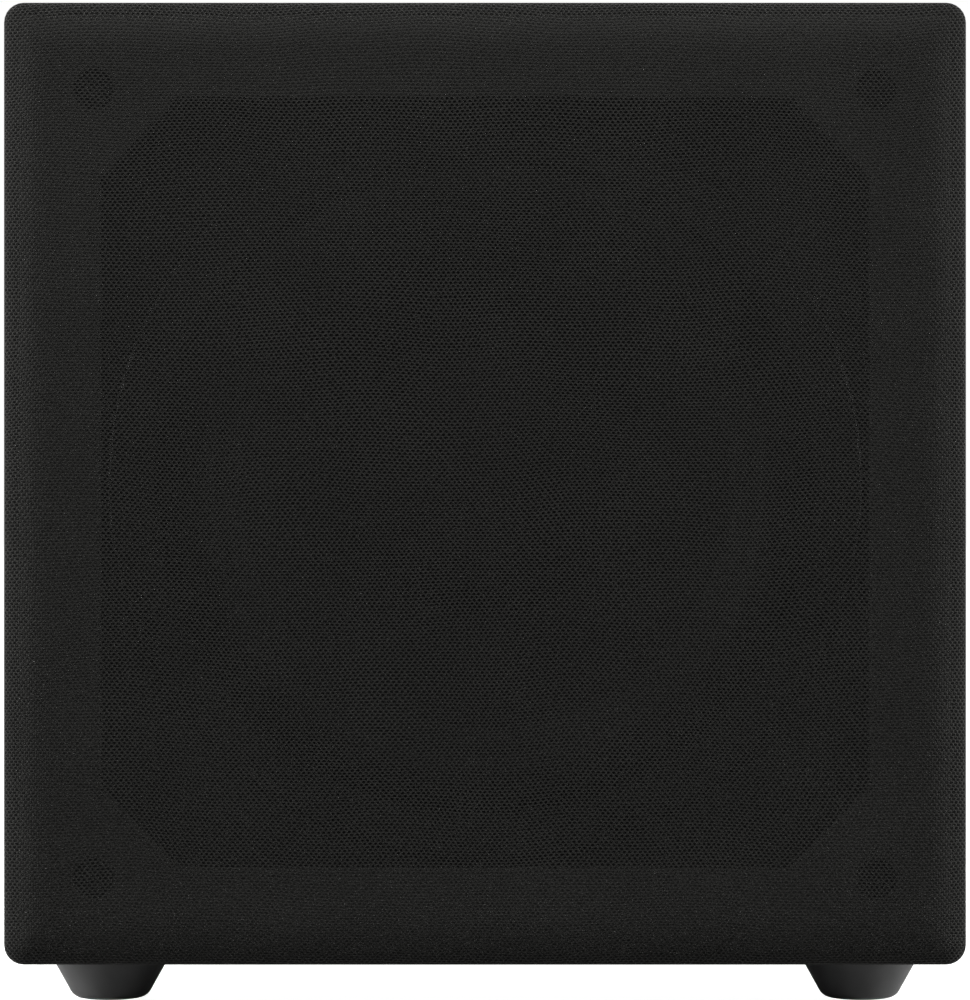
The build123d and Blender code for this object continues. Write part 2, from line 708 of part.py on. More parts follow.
def lead_wires():
    """Two braided leads with a slack loop from the terminal board to the back of the cone."""
    leads = []
    cone_back = cone_depth(LEAD_END_R) + CONE_WALL * hypot(1, CONE_SLOPE)
    for side in (-1, 1):
        start = terminal_point(-STUB_L, side)
        bend = terminal_point(-STUB_L - 8.5, side)
        z = start.Z
        leads.append(
            round_cord(
                [
                    start,
                    bend,
                    (bend.X - 7.5, bend.Y + 3.5, z),
                    (LEAD_END_R + 13.5, deep(cone_back + 15), z),
                    (LEAD_END_R + 4.7, deep(cone_back + 11), z),
                    (LEAD_END_R + 0.3, deep(cone_back + 0.6), z),
                ],
                LEAD_R,
            )
        )
    return union(leads)


def round_cord(points, radius):
    """A round wire along straight runs joined by arcs as large as the runs allow."""
    places = [Vector(p) for p in points]
    bends = []
    for before, at, after in zip(places, places[1:], places[2:]):
        run_in, run_out = at - before, after - at
        turn = radians(run_in.get_angle(run_out))
        bends.append(0.45 * min(run_in.length, run_out.length) / tan(turn / 2))
    path = FilletPolyline(*places, radius=bends)
    section = Plane(origin=places[0], z_dir=places[1] - places[0]) * Circle(radius)
    print("cord", round(path.length, 1), "mm, bends", [round(b, 1) for b in bends])
    return sweep(section, path=path)


# ---------------------------------------------------------------- amplifier, plate and fixings
AMP_SCREW_R = 1.9
AMP_SCREW_END_Y = BACK_Y - 12.0
AMP_SCREW_INSET = 6.0


def amp_screw_places():
    """(x, z) of the plate's screws: three along the top and bottom, two more on each side."""
    half_w, half_h = PLATE_W / 2 - AMP_SCREW_INSET, PLATE_H / 2 - AMP_SCREW_INSET
    rows = [(x, z) for z in (-half_h, half_h) for x in (-half_w, 0, half_w)]
    sides = [(x, z) for x in (-half_w, half_w) for z in (-half_h / 3, half_h / 3)]
    return [(x, AXIS_Z + z) for x, z in rows + sides]


def jack_places():
    """(x, z) of the four line-level jacks."""
    return [(x, z) for x in JACK_X for z in JACK_Z]


def pot_places():
    """x of the volume and the crossover controls."""
    return (VOLUME_X, CROSSOVER_X)


SLIDE_TRAVEL = 4.0
SLIDER_W = 4.0
SLIDER_H = 3.6


def amp_panel():
    """The steel plate with a hole for each control, socket and screw."""
    plate = face_block(PLATE_W, PLATE_H, PLATE_Y, PLATE_FACE_Y, corner=PLATE_CORNER)
    plate = chamfer(plate.faces().sort_by(Axis.Y)[-1].edges(), 0.8)
    through = {"y0": PLATE_Y, "y1": PLATE_FACE_Y}
    for x, z in amp_screw_places():
        plate -= rod(AMP_SCREW_R + 0.2, PLATE_Y, PLATE_FACE_Y, x, z)
    for x in pot_places():
        plate -= rod(BUSHING_R + RUNNING, PLATE_Y, PLATE_FACE_Y, x, CONTROL_Z)
    for x in (PHASE_X, MODE_X):
        window = SLIDE_TRAVEL + SLIDER_W + 1.0
        plate -= face_block(window, SLIDER_H + 0.8, **through, x=x, z=CONTROL_Z)
    plate -= rod(LED_R + RUNNING, PLATE_Y, PLATE_FACE_Y, MODE_X, LED_Z)
    for x, z in jack_places():
        plate -= rod(JACK_SEAT_R + RUNNING, PLATE_Y, PLATE_FACE_Y, x, z)
    plate -= face_block(
        INLET_W - 4 + 0.2, INLET_H - 4 + 0.2, **through, x=INLET_X, z=INLET_Z
    )
    plate -= face_block(
        SWITCH_W - 2 + 0.1, SWITCH_H - 2 + 0.1, **through, x=SWITCH_X, z=SWITCH_Z
    )
    return plate


def amp_gasket():
    """Foam frame that seals the plate on the back panel."""
    frame = face_block(PLATE_W - 2, PLATE_H - 2, BACK_Y, PLATE_Y, corner=PLATE_CORNER - 1)
    frame -= face_block(AMP_CUT_W, AMP_CUT_H, BACK_Y, PLATE_Y, corner=AMP_CUT_CORNER)
    for x, z in amp_screw_places():
        frame -= rod(AMP_SCREW_R + 0.2, BACK_Y, PLATE_Y, x, z)
    return frame


def amp_screws():
    """Pan-head cross-recess screws round the plate."""
    head_r, head_t, recess = 3.8, 2.3, 1.3
    head = rod(head_r, PLATE_FACE_Y, PLATE_FACE_Y + head_t, 0, 0)
    head = fillet(head.edges().group_by(Axis.Y)[-1], 1.3)
    top = PLATE_FACE_Y + head_t - recess / 2
    head -= Pos(0, top, 0) * (Box(4.4, recess, 0.9) + Box(0.9, recess, 4.4))
    screw = head + rod(AMP_SCREW_R, AMP_SCREW_END_Y + 1, PLATE_FACE_Y, 0, 0)
    return union([Pos(x, 0, z) * screw for x, z in amp_screw_places()])


def heatsink():
    """Extruded aluminium sink with upright fins, on the outside of the plate."""
    base_top = PLATE_FACE_Y + SINK_BASE
    sink = face_block(SINK_W, SINK_H, PLATE_FACE_Y, base_top, z=SINK_Z)
    pitch = (SINK_W - FIN_T) / (FINS - 1)
    fin = face_block(FIN_T, SINK_H, base_top, SINK_TOP_Y, z=SINK_Z)
    fin = fillet(fin.edges().filter_by(Axis.Z).group_by(Axis.Y)[-1], 0.9)
    for i in range(FINS):
        sink += Pos(-SINK_W / 2 + FIN_T / 2 + i * pitch, 0, 0) * fin
    return sink


# ---------------------------------------------------------------- amplifier, inside
BOARD_T = 1.6
CONTROL_BOARD_Y = 146.0
POWER_BOARD_Y = 132.0
CAP_CAN_R = 14.0
CAP_CAN_L = 42.0
STANDOFF_R = 2.6


def control_board():
    """Circuit board behind the controls and jacks, on four standoffs."""
    y0, y1 = CONTROL_BOARD_Y, CONTROL_BOARD_Y + BOARD_T
    board = face_block(168, 104, y0, y1, z=CONTROL_Z - 34)
    board -= face_block(66, 58, y0, y1, x=51, z=CONTROL_Z - 64)
    for x, dz in ((-80, 16), (80, 16), (-80, -78), (10, -78)):
        board += rod(STANDOFF_R, y1, PLATE_Y, x, CONTROL_Z + dz)
    return board


def power_board():
    """Amplifier board behind the heat sink, with its heat spreader against the plate."""
    z = SINK_Z - 4
    board = face_block(160, 66, POWER_BOARD_Y, POWER_BOARD_Y + BOARD_T, z=z)
    for x in (-74, 74):
        for dz in (-28, 28):
            board += rod(STANDOFF_R, POWER_BOARD_Y + BOARD_T, PLATE_Y, x, z + dz)
    board += face_block(110, 6, POWER_BOARD_Y + BOARD_T, PLATE_Y, z=z + 20)
    for i in range(4):
        x = -42 + 28 * i
        board += face_block(16, 5, POWER_BOARD_Y + BOARD_T, POWER_BOARD_Y + 22, x=x, z=z + 14.5)
    return board


def capacitors():
    """Two reservoir capacitors standing on the power board."""
    cans = []
    for x in (-20, 18):
        can = rod(CAP_CAN_R, POWER_BOARD_Y - CAP_CAN_L, POWER_BOARD_Y, x, SINK_Z - 16)
        can = fillet(can.edges().filter_by(GeomType.CIRCLE), 1.5)
        cans.append(can)
    return union(cans)


def power_transformer():
    """Toroidal transformer on a rubber pad on the cabinet's floor, under a dished washer."""
    upward = (Align.CENTER, Align.CENTER, Align.MIN)
    hole_r, pad_t, washer_t, head_t = 12.0, 1.5, 2.0, 4.0
    pad = Cylinder(TOROID_R - 6, pad_t, align=upward) - Cylinder(hole_r, pad_t, align=upward)
    core = Cylinder(TOROID_R, TOROID_T, align=upward) - Cylinder(hole_r, TOROID_T, align=upward)
    core = fillet(core.edges().filter_by(GeomType.CIRCLE), 5.0)
    top = pad_t + TOROID_T
    washer = Pos(0, 0, top) * Cylinder(21, washer_t, align=upward)
    head = Pos(0, 0, top + washer_t) * Cylinder(5, head_t, align=upward)
    shank = Pos(0, 0, 1 - TOROID_SCREW_GRIP) * Cylinder(
        TOROID_SCREW_R, TOROID_SCREW_GRIP + top, align=upward
    )
    pieces = [pad, Pos(0, 0, pad_t) * core, washer + head + shank]
    return Pos(TOROID_X, TOROID_Y, FOOT_HEIGHT + WALL) * union(pieces)


# ---------------------------------------------------------------- sockets
JACK_SEAT_R = 5.4
JACK_FLANGE_R = 5.8
JACK_BASE_Y = PLATE_FACE_Y + 1.0
JACK_END_Y = JACK_BASE_Y + 8.0
JACK_INNER_R = 3.4


def rca_block():
    """Moulded block that carries the four jacks behind the plate."""
    middle_x, middle_z = sum(JACK_X) / 2, sum(JACK_Z) / 2
    block = face_block(
        44, 44, CONTROL_BOARD_Y + BOARD_T, PLATE_Y, x=middle_x, z=middle_z, corner=2
    )
    for x, z in jack_places():
        block += tube(JACK_SEAT_R, JACK_INNER_R + 0.55, PLATE_Y, PLATE_FACE_Y, x, z)
        block -= rod(JACK_INNER_R + 0.55, PLATE_Y - 8, PLATE_Y, x, z)
    return block


def rca_shells():
    """The four jacks' metal shells, flanged where they meet the plate."""
    shell = turned(
        outline(
            (JACK_INNER_R, PLATE_Y - 8),
            (JACK_INNER_R + 0.5, PLATE_Y - 8),
            (JACK_INNER_R + 0.5, PLATE_FACE_Y),
            (JACK_FLANGE_R, PLATE_FACE_Y),
            (JACK_FLANGE_R, JACK_BASE_Y),
            (JACK_SHELL_R, JACK_BASE_Y),
            (JACK_SHELL_R, JACK_END_Y),
            (JACK_INNER_R, JACK_END_Y),
        ),
        z=0,
    )
    return union([Pos(x, 0, z) * shell for x, z in jack_places()])


def rca_inserts():
    """The jacks' moulded insulators, bored for the plug's centre pin."""
    insert = tube(JACK_INNER_R, JACK_BORE_R, PLATE_Y - 8, JACK_END_Y - 0.6, 0, 0)
    insert += rod(JACK_INNER_R, PLATE_Y - 8, JACK_END_Y - 9.6, 0, 0)
    return union([Pos(x, 0, z) * insert for x, z in jack_places()])


INLET_FACE_Y = PLATE_FACE_Y + 2.0
INLET_BODY_Y = INLET_FACE_Y - 32.0


def socket_outline():
    """The mains socket's section: a rectangle with its two lower corners cut."""
    half_w, half_h, cut = SOCKET_W / 2, SOCKET_H / 2, 5.0
    return Polygon(
        (half_w, half_h),
        (-half_w, half_h),
        (-half_w, -half_h + cut),
        (-half_w + cut, -half_h),
        (half_w - cut, -half_h),
        (half_w, -half_h + cut),
        align=None,
    )


def mains_inlet():
    """Flanged appliance inlet with a fuse drawer's slot under the socket."""
    flange = face_block(
        INLET_W, INLET_H, PLATE_FACE_Y, INLET_FACE_Y, INLET_X, INLET_Z, corner=2.5
    )
    flange = chamfer(flange.faces().sort_by(Axis.Y)[-1].edges(), 0.7)
    body = face_block(INLET_W - 4, INLET_H - 4, INLET_BODY_Y, PLATE_FACE_Y, INLET_X, INLET_Z)
    hole = Pos(INLET_X, INLET_FACE_Y, SOCKET_Z) * extrude(
        Plane.XZ * socket_outline(), amount=SOCKET_DEPTH
    )
    drawer = face_block(
        DRAWER_W + 0.2,
        DRAWER_H + 0.2,
        INLET_FACE_Y - DRAWER_L - 1,
        INLET_FACE_Y,
        INLET_X,
        DRAWER_Z,
    )
    return flange + body - hole - drawer


BLADE_T, BLADE_H, BLADE_L = 2.0, 4.0, 12.0
BLADE_SPREAD = 7.0


def inlet_pins():
    """Line, neutral and earth blades, from the socket's floor and out to their rear tags."""
    floor_y = INLET_FACE_Y - SOCKET_DEPTH
    blades = []
    for dx, dz in ((-BLADE_SPREAD, -2.0), (BLADE_SPREAD, -2.0), (0.0, 2.0)):
        x, z = INLET_X + dx, SOCKET_Z + dz
        blade = face_block(BLADE_T, BLADE_H, floor_y, floor_y + BLADE_L, x, z)
        blade = fillet(blade.edges().group_by(Axis.Y)[-1], 0.8)
        tag = face_block(0.8, 6.3, INLET_BODY_Y - 8, INLET_BODY_Y, x, z)
        blades += [blade, tag]
    return union(blades)


DRAWER_LIP = 1.4
FUSE_R = 2.6
FUSE_L = 20.0


def fuse_drawer():
    """Sliding fuse carrier with a finger lip and a trough for the fuse."""
    y1 = INLET_FACE_Y + DRAWER_LIP
    body = face_block(DRAWER_W, DRAWER_H, INLET_FACE_Y - DRAWER_L, INLET_FACE_Y, INLET_X, DRAWER_Z)
    front = face_block(DRAWER_W + 2, DRAWER_H + 2, INLET_FACE_Y + 0.1, y1, INLET_X, DRAWER_Z)
    front = fillet(front.edges().group_by(Axis.Y)[-1], 0.8)
    grip = face_block(9, 2.2, y1 - 0.7, y1, INLET_X, DRAWER_Z - DRAWER_H / 2)
    bridge = face_block(
        DRAWER_W - 4, DRAWER_H - 3, INLET_FACE_Y, INLET_FACE_Y + 0.1, INLET_X, DRAWER_Z
    )
    trough_y = INLET_FACE_Y - DRAWER_L + 12
    trough = Pos(INLET_X, trough_y, DRAWER_Z) * Box(FUSE_L + 0.6, 2 * FUSE_R + 0.4, DRAWER_H)
    return body + bridge + front - grip - trough


def fuse():
    """Glass fuse with its end caps, lying across the drawer."""
    y = INLET_FACE_Y - DRAWER_L + 12
    along_x = Rot(0, 90, 0)
    glass = along_x * Cylinder(FUSE_R - 0.3, FUSE_L - 10)
    cap = fillet((along_x * Cylinder(FUSE_R, 5)).edges(), 0.4)
    ends = [Pos(side * (FUSE_L / 2 - 2.5), 0, 0) * cap for side in (-1, 1)]
    return Pos(INLET_X, y, DRAWER_Z) * (glass + ends[0] + ends[1])


SWITCH_RIM_Y = PLATE_FACE_Y + 1.6
PIVOT_Y = PLATE_FACE_Y - 1.0
ROCKER_W = 10.0
ROCKER_H = 15.2
PIN_R = 1.2


def switch_housing():
    """Snap-in rocker switch body with a rim, a well for the rocker and two rear tags."""
    rim = face_block(SWITCH_W, SWITCH_H, PLATE_FACE_Y, SWITCH_RIM_Y, SWITCH_X, SWITCH_Z, corner=1.5)
    rim = chamfer(rim.faces().sort_by(Axis.Y)[-1].edges(), 0.5)
    body = face_block(
        SWITCH_W - 2, SWITCH_H - 2, PLATE_FACE_Y - 16, PLATE_FACE_Y, SWITCH_X, SWITCH_Z
    )
    well = face_block(
        ROCKER_W + 0.4, ROCKER_H + 1.6, PLATE_FACE_Y - 9, SWITCH_RIM_Y, SWITCH_X, SWITCH_Z
    )
    housing = rim + body - well
    pivot = Pos(SWITCH_X, PIVOT_Y, SWITCH_Z) * (Rot(0, 90, 0) * Cylinder(PIN_R, SWITCH_W - 2))
    tags = [
        face_block(4.8, 0.8, PLATE_FACE_Y - 24, PLATE_FACE_Y - 16, SWITCH_X, SWITCH_Z + dz)
        for dz in (-5, 5)
    ]
    return housing + pivot + tags[0] + tags[1]


def power_rocker():
    """Rocker with a shallow V front, resting with its lower half pressed in."""
    reach = 5.6
    half = ROCKER_H / 2
    # Section drawn in (y, z) about the pivot, then given the rocker's width.
    section = Polygon(
        (reach - 1.4, 0),
        (reach, half),
        (-1.0, half - 0.6),
        (-4.5, 2.2),
        (-4.5, -2.2),
        (-1.0, -half + 0.6),
        (reach, -half),
        align=None,
    )
    block = extrude(Plane.YZ * section, amount=ROCKER_W / 2, both=True)
    block = fillet(block.edges().filter_by(Axis.X).group_by(Axis.Y)[-1], 0.8)
    block -= Rot(0, 90, 0) * Cylinder(PIN_R + RUNNING, ROCKER_W)
    tilted = Rot(ROCKER_TILT, 0, 0) * block
    return Pos(SWITCH_X, PIVOT_Y, SWITCH_Z) * tilted


# ---------------------------------------------------------------- controls
BUSHING_R = 3.5
POT_BODY = 16.0
NUT_T = 2.0
SHAFT_END_Y = REAR_Y - 3.0
SHAFT_FLAT = 1.5  # from the shaft's axis to its flat
KNOB_BASE_Y = PLATE_FACE_Y + 1.2
KNOB_SKIRT_R = KNOB_R + 0.8
FLUTES = 24


def potentiometers():
    """Two rotary controls: case, threaded bushing, washer and nut."""
    pots = []
    for x in pot_places():
        case = face_block(
            POT_BODY, POT_BODY + 2, CONTROL_BOARD_Y + BOARD_T, PLATE_Y - 1, x, CONTROL_Z, corner=1.5
        )
        case += rod(BUSHING_R, PLATE_Y - 1, PLATE_FACE_Y + NUT_T + 0.6, x, CONTROL_Z)
        case += rod(6.0, PLATE_FACE_Y, PLATE_FACE_Y + 0.5, x, CONTROL_Z)
        nut_top = PLATE_FACE_Y + 0.5 + NUT_T
        case += Pos(x, nut_top, CONTROL_Z) * extrude(
            Plane.XZ * RegularPolygon(5.6, 6), amount=NUT_T
        )
        case -= rod(SHAFT_R + RUNNING, CONTROL_BOARD_Y + 4, nut_top + 1, x, CONTROL_Z)
        pots.append(case)
    return union(pots)


def shaft_flat(x):
    """The block that makes a control shaft's flat, above its axis."""
    flat_h = SHAFT_R - SHAFT_FLAT
    return face_block(
        2 * SHAFT_R, flat_h, REAR_Y - 11, REAR_Y, x, CONTROL_Z + SHAFT_FLAT + flat_h / 2
    )


def control_shaft(x):
    """A D-section shaft that turns in the control's bushing."""
    shaft = rod(SHAFT_R, CONTROL_BOARD_Y + 5, SHAFT_END_Y, x, CONTROL_Z)
    return shaft - shaft_flat(x)


def control_knob(x):
    """A fluted knob on a flared skirt, with a pointer rib and a D bore."""
    top, skirt_top = REAR_Y, KNOB_BASE_Y + 2.4
    section = outline(
        (0, KNOB_BASE_Y),
        (KNOB_SKIRT_R, KNOB_BASE_Y),
        (KNOB_SKIRT_R, KNOB_BASE_Y + 1.2),
        (KNOB_R - 0.4, skirt_top),
        (KNOB_R - 1.2, top - 0.9),
        (KNOB_R - 2.1, top),
        (0, top),
    )
    knob = turned(section, x, CONTROL_Z)
    for i in range(FLUTES):
        a = radians(360.0 * (i + 0.5) / FLUTES)
        dx, dz = (KNOB_R - 0.3) * cos(a), (KNOB_R - 0.3) * sin(a)
        knob -= rod(0.7, skirt_top, top, x + dx, CONTROL_Z + dz)
    groove = face_block(1.0, KNOB_R - 2.5, top - 0.6, top, x, CONTROL_Z + KNOB_R / 2 + 0.6)
    knob -= groove
    bore = rod(SHAFT_R, KNOB_BASE_Y, SHAFT_END_Y, x, CONTROL_Z) - shaft_flat(x)
    nut_room = rod(6.6, KNOB_BASE_Y, PLATE_FACE_Y + 3.8, x, CONTROL_Z)
    return knob - bore - nut_room


def slide_switches():
    """The two slide switches' steel cases, behind the plate."""
    cases = []
    for x in (PHASE_X, MODE_X):
        case = face_block(15, 8, CONTROL_BOARD_Y + BOARD_T, PLATE_Y - 0.2, x, CONTROL_Z)
        window = SLIDE_TRAVEL + SLIDER_W + 1.0
        case -= face_block(window, SLIDER_H + 0.8, PLATE_Y - 5, PLATE_Y, x, CONTROL_Z)
        cases.append(case)
    return union(cases)


def slider(x):
    """A slide switch's actuator at the left end of its travel, as seen from behind."""
    start_x = x + SLIDE_TRAVEL / 2
    stem = face_block(
        SLIDER_W, SLIDER_H, PLATE_Y - 4.8, PLATE_FACE_Y + 3.5, start_x, CONTROL_Z
    )
    stem = fillet(stem.edges().group_by(Axis.Y)[-1], 0.6)
    for dx in (-1.1, 0.0, 1.1):
        stem -= face_block(
            0.5, SLIDER_H, PLATE_FACE_Y + 3.1, PLATE_FACE_Y + 3.5, start_x + dx, CONTROL_Z
        )
    return stem


LED_R = 1.5


def status_led():
    """Round indicator lamp, domed where it stands out of the plate."""
    led = rod(LED_R, PLATE_Y - 6, PLATE_FACE_Y + 1.6, MODE_X, LED_Z)
    led = fillet(led.edges().group_by(Axis.Y)[-1], LED_R * 0.9)
    return led + rod(LED_R + 0.4, PLATE_Y - 6, PLATE_Y - 5, MODE_X, LED_Z)


# ---------------------------------------------------------------- wiring
WIRE_R = 1.4


def speaker_wires():
    """Two leads from the power board, through the brace's window, to the driver's lugs."""
    wires = []
    for side in (-1, 1):
        lug = terminal_point(TERMINAL_T + LUG_L, side)
        outside = terminal_point(TERMINAL_T + LUG_L + 9, side)
        x0, z0 = 58 + side * 4, SINK_Z - 24
        points = [
            (x0, POWER_BOARD_Y, z0),
            (x0, POWER_BOARD_Y - 26, z0),
            (x0 + 24, POWER_BOARD_Y - 50, z0 - 14),
            (x0 + 47, POWER_BOARD_Y - 88, z0 - 34),
            (x0 + 54, POWER_BOARD_Y - 132, lug.Z + 4),
            (x0 + 60, POWER_BOARD_Y - 180, lug.Z - 6),
            (122 + side, POWER_BOARD_Y - 218, lug.Z - 3),
            (121, outside.Y + 10, lug.Z + 1),
            outside,
            lug,
        ]
        wires.append(round_cord(points, WIRE_R))
    return union(wires)


# ---------------------------------------------------------------- the whole
def all_parts():
    """Every node's name and shape."""
    parts = {
        "top_panel": wrap_panel(0),
        "bottom_panel": bottom_panel(),
        "side_panel_left": wrap_panel(90),
        "side_panel_right": wrap_panel(-90),
        "front_baffle": front_baffle(),
        "back_panel": back_panel(),
        "window_brace": window_brace(),
        "damping_pads": damping_pads(),
        "foot_hardware": foot_hardware(),
        "grille_frame": grille_frame(),
        "grille_cloth": grille_cloth(),
        "cloth_hem": cloth_hem(),
        "grille_pegs": grille_pegs(),
        "grille_sockets": grille_sockets(),
        "driver_bezel": driver_bezel(),
        "driver_basket": driver_basket(),
        "driver_gasket": driver_gasket(),
        "driver_screws": driver_screws(),
        "front_plate": front_plate(),
        "magnet_rings": magnet_rings(),
        "pole_yoke": pole_yoke(),
        "driver_terminals": driver_terminals(),
        "lead_wires": lead_wires(),
        "surround": surround(),
        "spider": spider(),
        "cone": cone(),
        "dust_cap": dust_cap(),
        "coil_former": coil_former(),
        "voice_coil": voice_coil(),
        "amp_panel": amp_panel(),
        "amp_gasket": amp_gasket(),
        "amp_screws": amp_screws(),
        "heatsink": heatsink(),
        "control_board": control_board(),
        "power_board": power_board(),
        "capacitors": capacitors(),
        "power_transformer": power_transformer(),
        "rca_block": rca_block(),
        "rca_shells": rca_shells(),
        "rca_inserts": rca_inserts(),
        "mains_inlet": mains_inlet(),
        "inlet_pins": inlet_pins(),
        "fuse_drawer": fuse_drawer(),
        "fuse": fuse(),
        "switch_housing": switch_housing(),
        "power_rocker": power_rocker(),
        "potentiometers": potentiometers(),
        "volume_shaft": control_shaft(VOLUME_X),
        "volume_knob": control_knob(VOLUME_X),
        "crossover_shaft": control_shaft(CROSSOVER_X),
        "crossover_knob": control_knob(CROSSOVER_X),
        "slide_switches": slide_switches(),
        "phase_slider": slider(PHASE_X),
        "mode_slider": slider(MODE_X),
        "status_led": status_led(),
        "speaker_wires": speaker_wires(),
    }
    names = ("foot_front_left", "foot_front_right", "foot_rear_left", "foot_rear_right")
    for name, (x, y) in zip(names, foot_places()):
        parts[name] = foot(x, y)
    return parts


def main():
    os.makedirs("parts", exist_ok=True)
    for name, shape in all_parts().items():
        export_step(shape, f"parts/{name}.step")


main()
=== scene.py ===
import json
import math

import bpy
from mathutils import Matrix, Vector, noise


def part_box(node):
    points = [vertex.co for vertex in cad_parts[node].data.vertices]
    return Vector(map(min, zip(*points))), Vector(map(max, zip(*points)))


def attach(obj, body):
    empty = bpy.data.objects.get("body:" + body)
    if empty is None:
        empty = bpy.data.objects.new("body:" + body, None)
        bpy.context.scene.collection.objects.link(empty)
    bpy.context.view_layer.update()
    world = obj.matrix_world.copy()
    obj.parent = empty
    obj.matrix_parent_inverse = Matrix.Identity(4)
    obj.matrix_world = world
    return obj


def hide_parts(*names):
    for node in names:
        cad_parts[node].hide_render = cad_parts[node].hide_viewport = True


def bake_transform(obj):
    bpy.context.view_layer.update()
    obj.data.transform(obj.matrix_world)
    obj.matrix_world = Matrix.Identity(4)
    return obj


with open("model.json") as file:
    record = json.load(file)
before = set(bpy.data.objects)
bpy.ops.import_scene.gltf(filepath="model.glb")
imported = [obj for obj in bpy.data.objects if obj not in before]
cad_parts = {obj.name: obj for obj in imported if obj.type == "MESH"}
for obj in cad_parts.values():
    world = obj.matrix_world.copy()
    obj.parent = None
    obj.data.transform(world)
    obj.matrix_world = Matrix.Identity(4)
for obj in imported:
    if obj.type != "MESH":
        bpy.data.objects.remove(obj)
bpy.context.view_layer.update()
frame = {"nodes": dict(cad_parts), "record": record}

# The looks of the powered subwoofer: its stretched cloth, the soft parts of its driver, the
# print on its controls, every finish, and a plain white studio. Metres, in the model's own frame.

MM = 0.001


# ---------------------------------------------------------------- places read from the frame
def middle(node):
    """The centre of a node's box."""
    low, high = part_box(node)
    return (low + high) / 2


GRILLE_LOW, GRILLE_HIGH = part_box("cloth_hem")
FRONT_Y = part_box("grille_cloth")[0].y
HALF_FACE = (GRILLE_HIGH.x - GRILLE_LOW.x) / 2
AXIS_Z = (GRILLE_HIGH.z + GRILLE_LOW.z) / 2
GRILLE_DEPTH = GRILLE_HIGH.y - FRONT_Y
PANEL_FACE_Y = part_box("amp_panel")[1].y
CABINET_LOW, CABINET_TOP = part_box("bottom_panel")[0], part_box("top_panel")[1]
CABINET_BACK_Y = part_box("back_panel")[1].y


# ---------------------------------------------------------------- material recipes
class Recipe:
    """A material being built. Each call adds a node, and values or sockets feed its inputs."""

    def __init__(self, name, color=(0.03, 0.03, 0.03), roughness=0.5, metallic=0.0, **sockets):
        self.material = bpy.data.materials.new(name)
        self.material.use_nodes = True
        self.tree = self.material.node_tree
        self.shader = self.tree.nodes["Principled BSDF"]
        self.set("Base Color", (*color, 1.0))
        self.set("Roughness", roughness)
        self.set("Metallic", metallic)
        for socket, value in sockets.items():
            self.set(socket.replace("_", " "), value)

    def set(self, socket, value):
        """Sets a socket of the shader to a constant, or links it."""
        self.feed(self.shader.inputs[socket], value)

    def feed(self, socket, value):
        """Sets any socket to a constant, or links it."""
        if isinstance(value, bpy.types.NodeSocket):
            self.tree.links.new(value, socket)
        else:
            socket.default_value = value

    def node(self, kind, output, inputs, **settings):
        """Adds a node of that kind, and returns one of its outputs."""
        node = self.tree.nodes.new("ShaderNode" + kind)
        for name, value in settings.items():
            setattr(node, name, value)
        for socket, value in inputs.items():
            self.feed(node.inputs[socket], value)
        return node.outputs[output]

    def math(self, operation, *values):
        return self.node("Math", 0, dict(enumerate(values)), operation=operation)

    def vector(self, operation, a, b):
        return self.node("VectorMath", 0, {0: a, 1: b}, operation=operation)

    def place(self, stretch=(1.0, 1.0, 1.0)):
        """The point on the object in metres, with each axis scaled."""
        here = self.node("TexCoord", "Object", {})
        return self.vector("MULTIPLY", here, stretch)

    def axis(self, where, name):
        return self.node("SeparateXYZ", name, {0: where})

    def noise(self, where, scale, detail=2.0, output="Fac"):
        inputs = {"Vector": where, "Scale": scale, "Detail": detail}
        return self.node("TexNoise", output, inputs)

    def cells(self, where, scale, output="Distance"):
        return self.node("TexVoronoi", output, {"Vector": where, "Scale": scale})

    def ramp(self, value, low, high, start=0.0, end=1.0):
        """start below low, end above high, and smooth between."""
        inputs = {
            "Value": value, "From Min": low, "From Max": high, "To Min": start, "To Max": end,
        }
        return self.node("MapRange", "Result", inputs, interpolation_type="SMOOTHSTEP")

    def mix(self, share, first, second):
        """A colour between two that are each an RGBA colour or a node's output."""
        # A colour mix has its factor in socket 0, its two colours in 6 and 7, and its result in 2.
        return self.node("Mix", 2, {0: share, 6: first, 7: second}, data_type="RGBA")

    def blend(self, share, first, second):
        """A colour between two RGB colours."""
        return self.mix(share, (*first, 1.0), (*second, 1.0))

    def ridges(self, way, pitch):
        """Up and down between 0 and a half, once in every two pitches along a way."""
        return self.math("PINGPONG", self.math("DIVIDE", way, pitch), 0.5)

    def bump(self, height, depth):
        """Relief of that depth in metres."""
        normal = self.node("Bump", "Normal", {"Height": height, "Distance": depth})
        self.set("Normal", normal)

    def wander(self, where, scale, reach):
        """The place moved about by noise, up to half of reach each way."""
        push = self.vector("SUBTRACT", self.noise(where, scale, 1.0, "Color"), (0.5, 0.5, 0.5))
        return self.vector("ADD", where, self.vector("MULTIPLY", push, reach))

    def off_middle(self, cells, half):
        """The squared distance from the middle of a unit cell, as a share of half."""
        offset = self.math("SUBTRACT", self.math("FRACT", cells), 0.5)
        return self.math("POWER", self.math("DIVIDE", offset, half), 2.0)

    def speckle(self, scale, depth, low=0.45, high=0.6, stretch=(1.0, 1.0, 1.0)):
        """Fine random relief, as on moulded or painted surfaces. Returns its pattern."""
        grain = self.noise(self.place(stretch), scale, 3.0)
        self.bump(grain, depth)
        return self.ramp(grain, low, high)


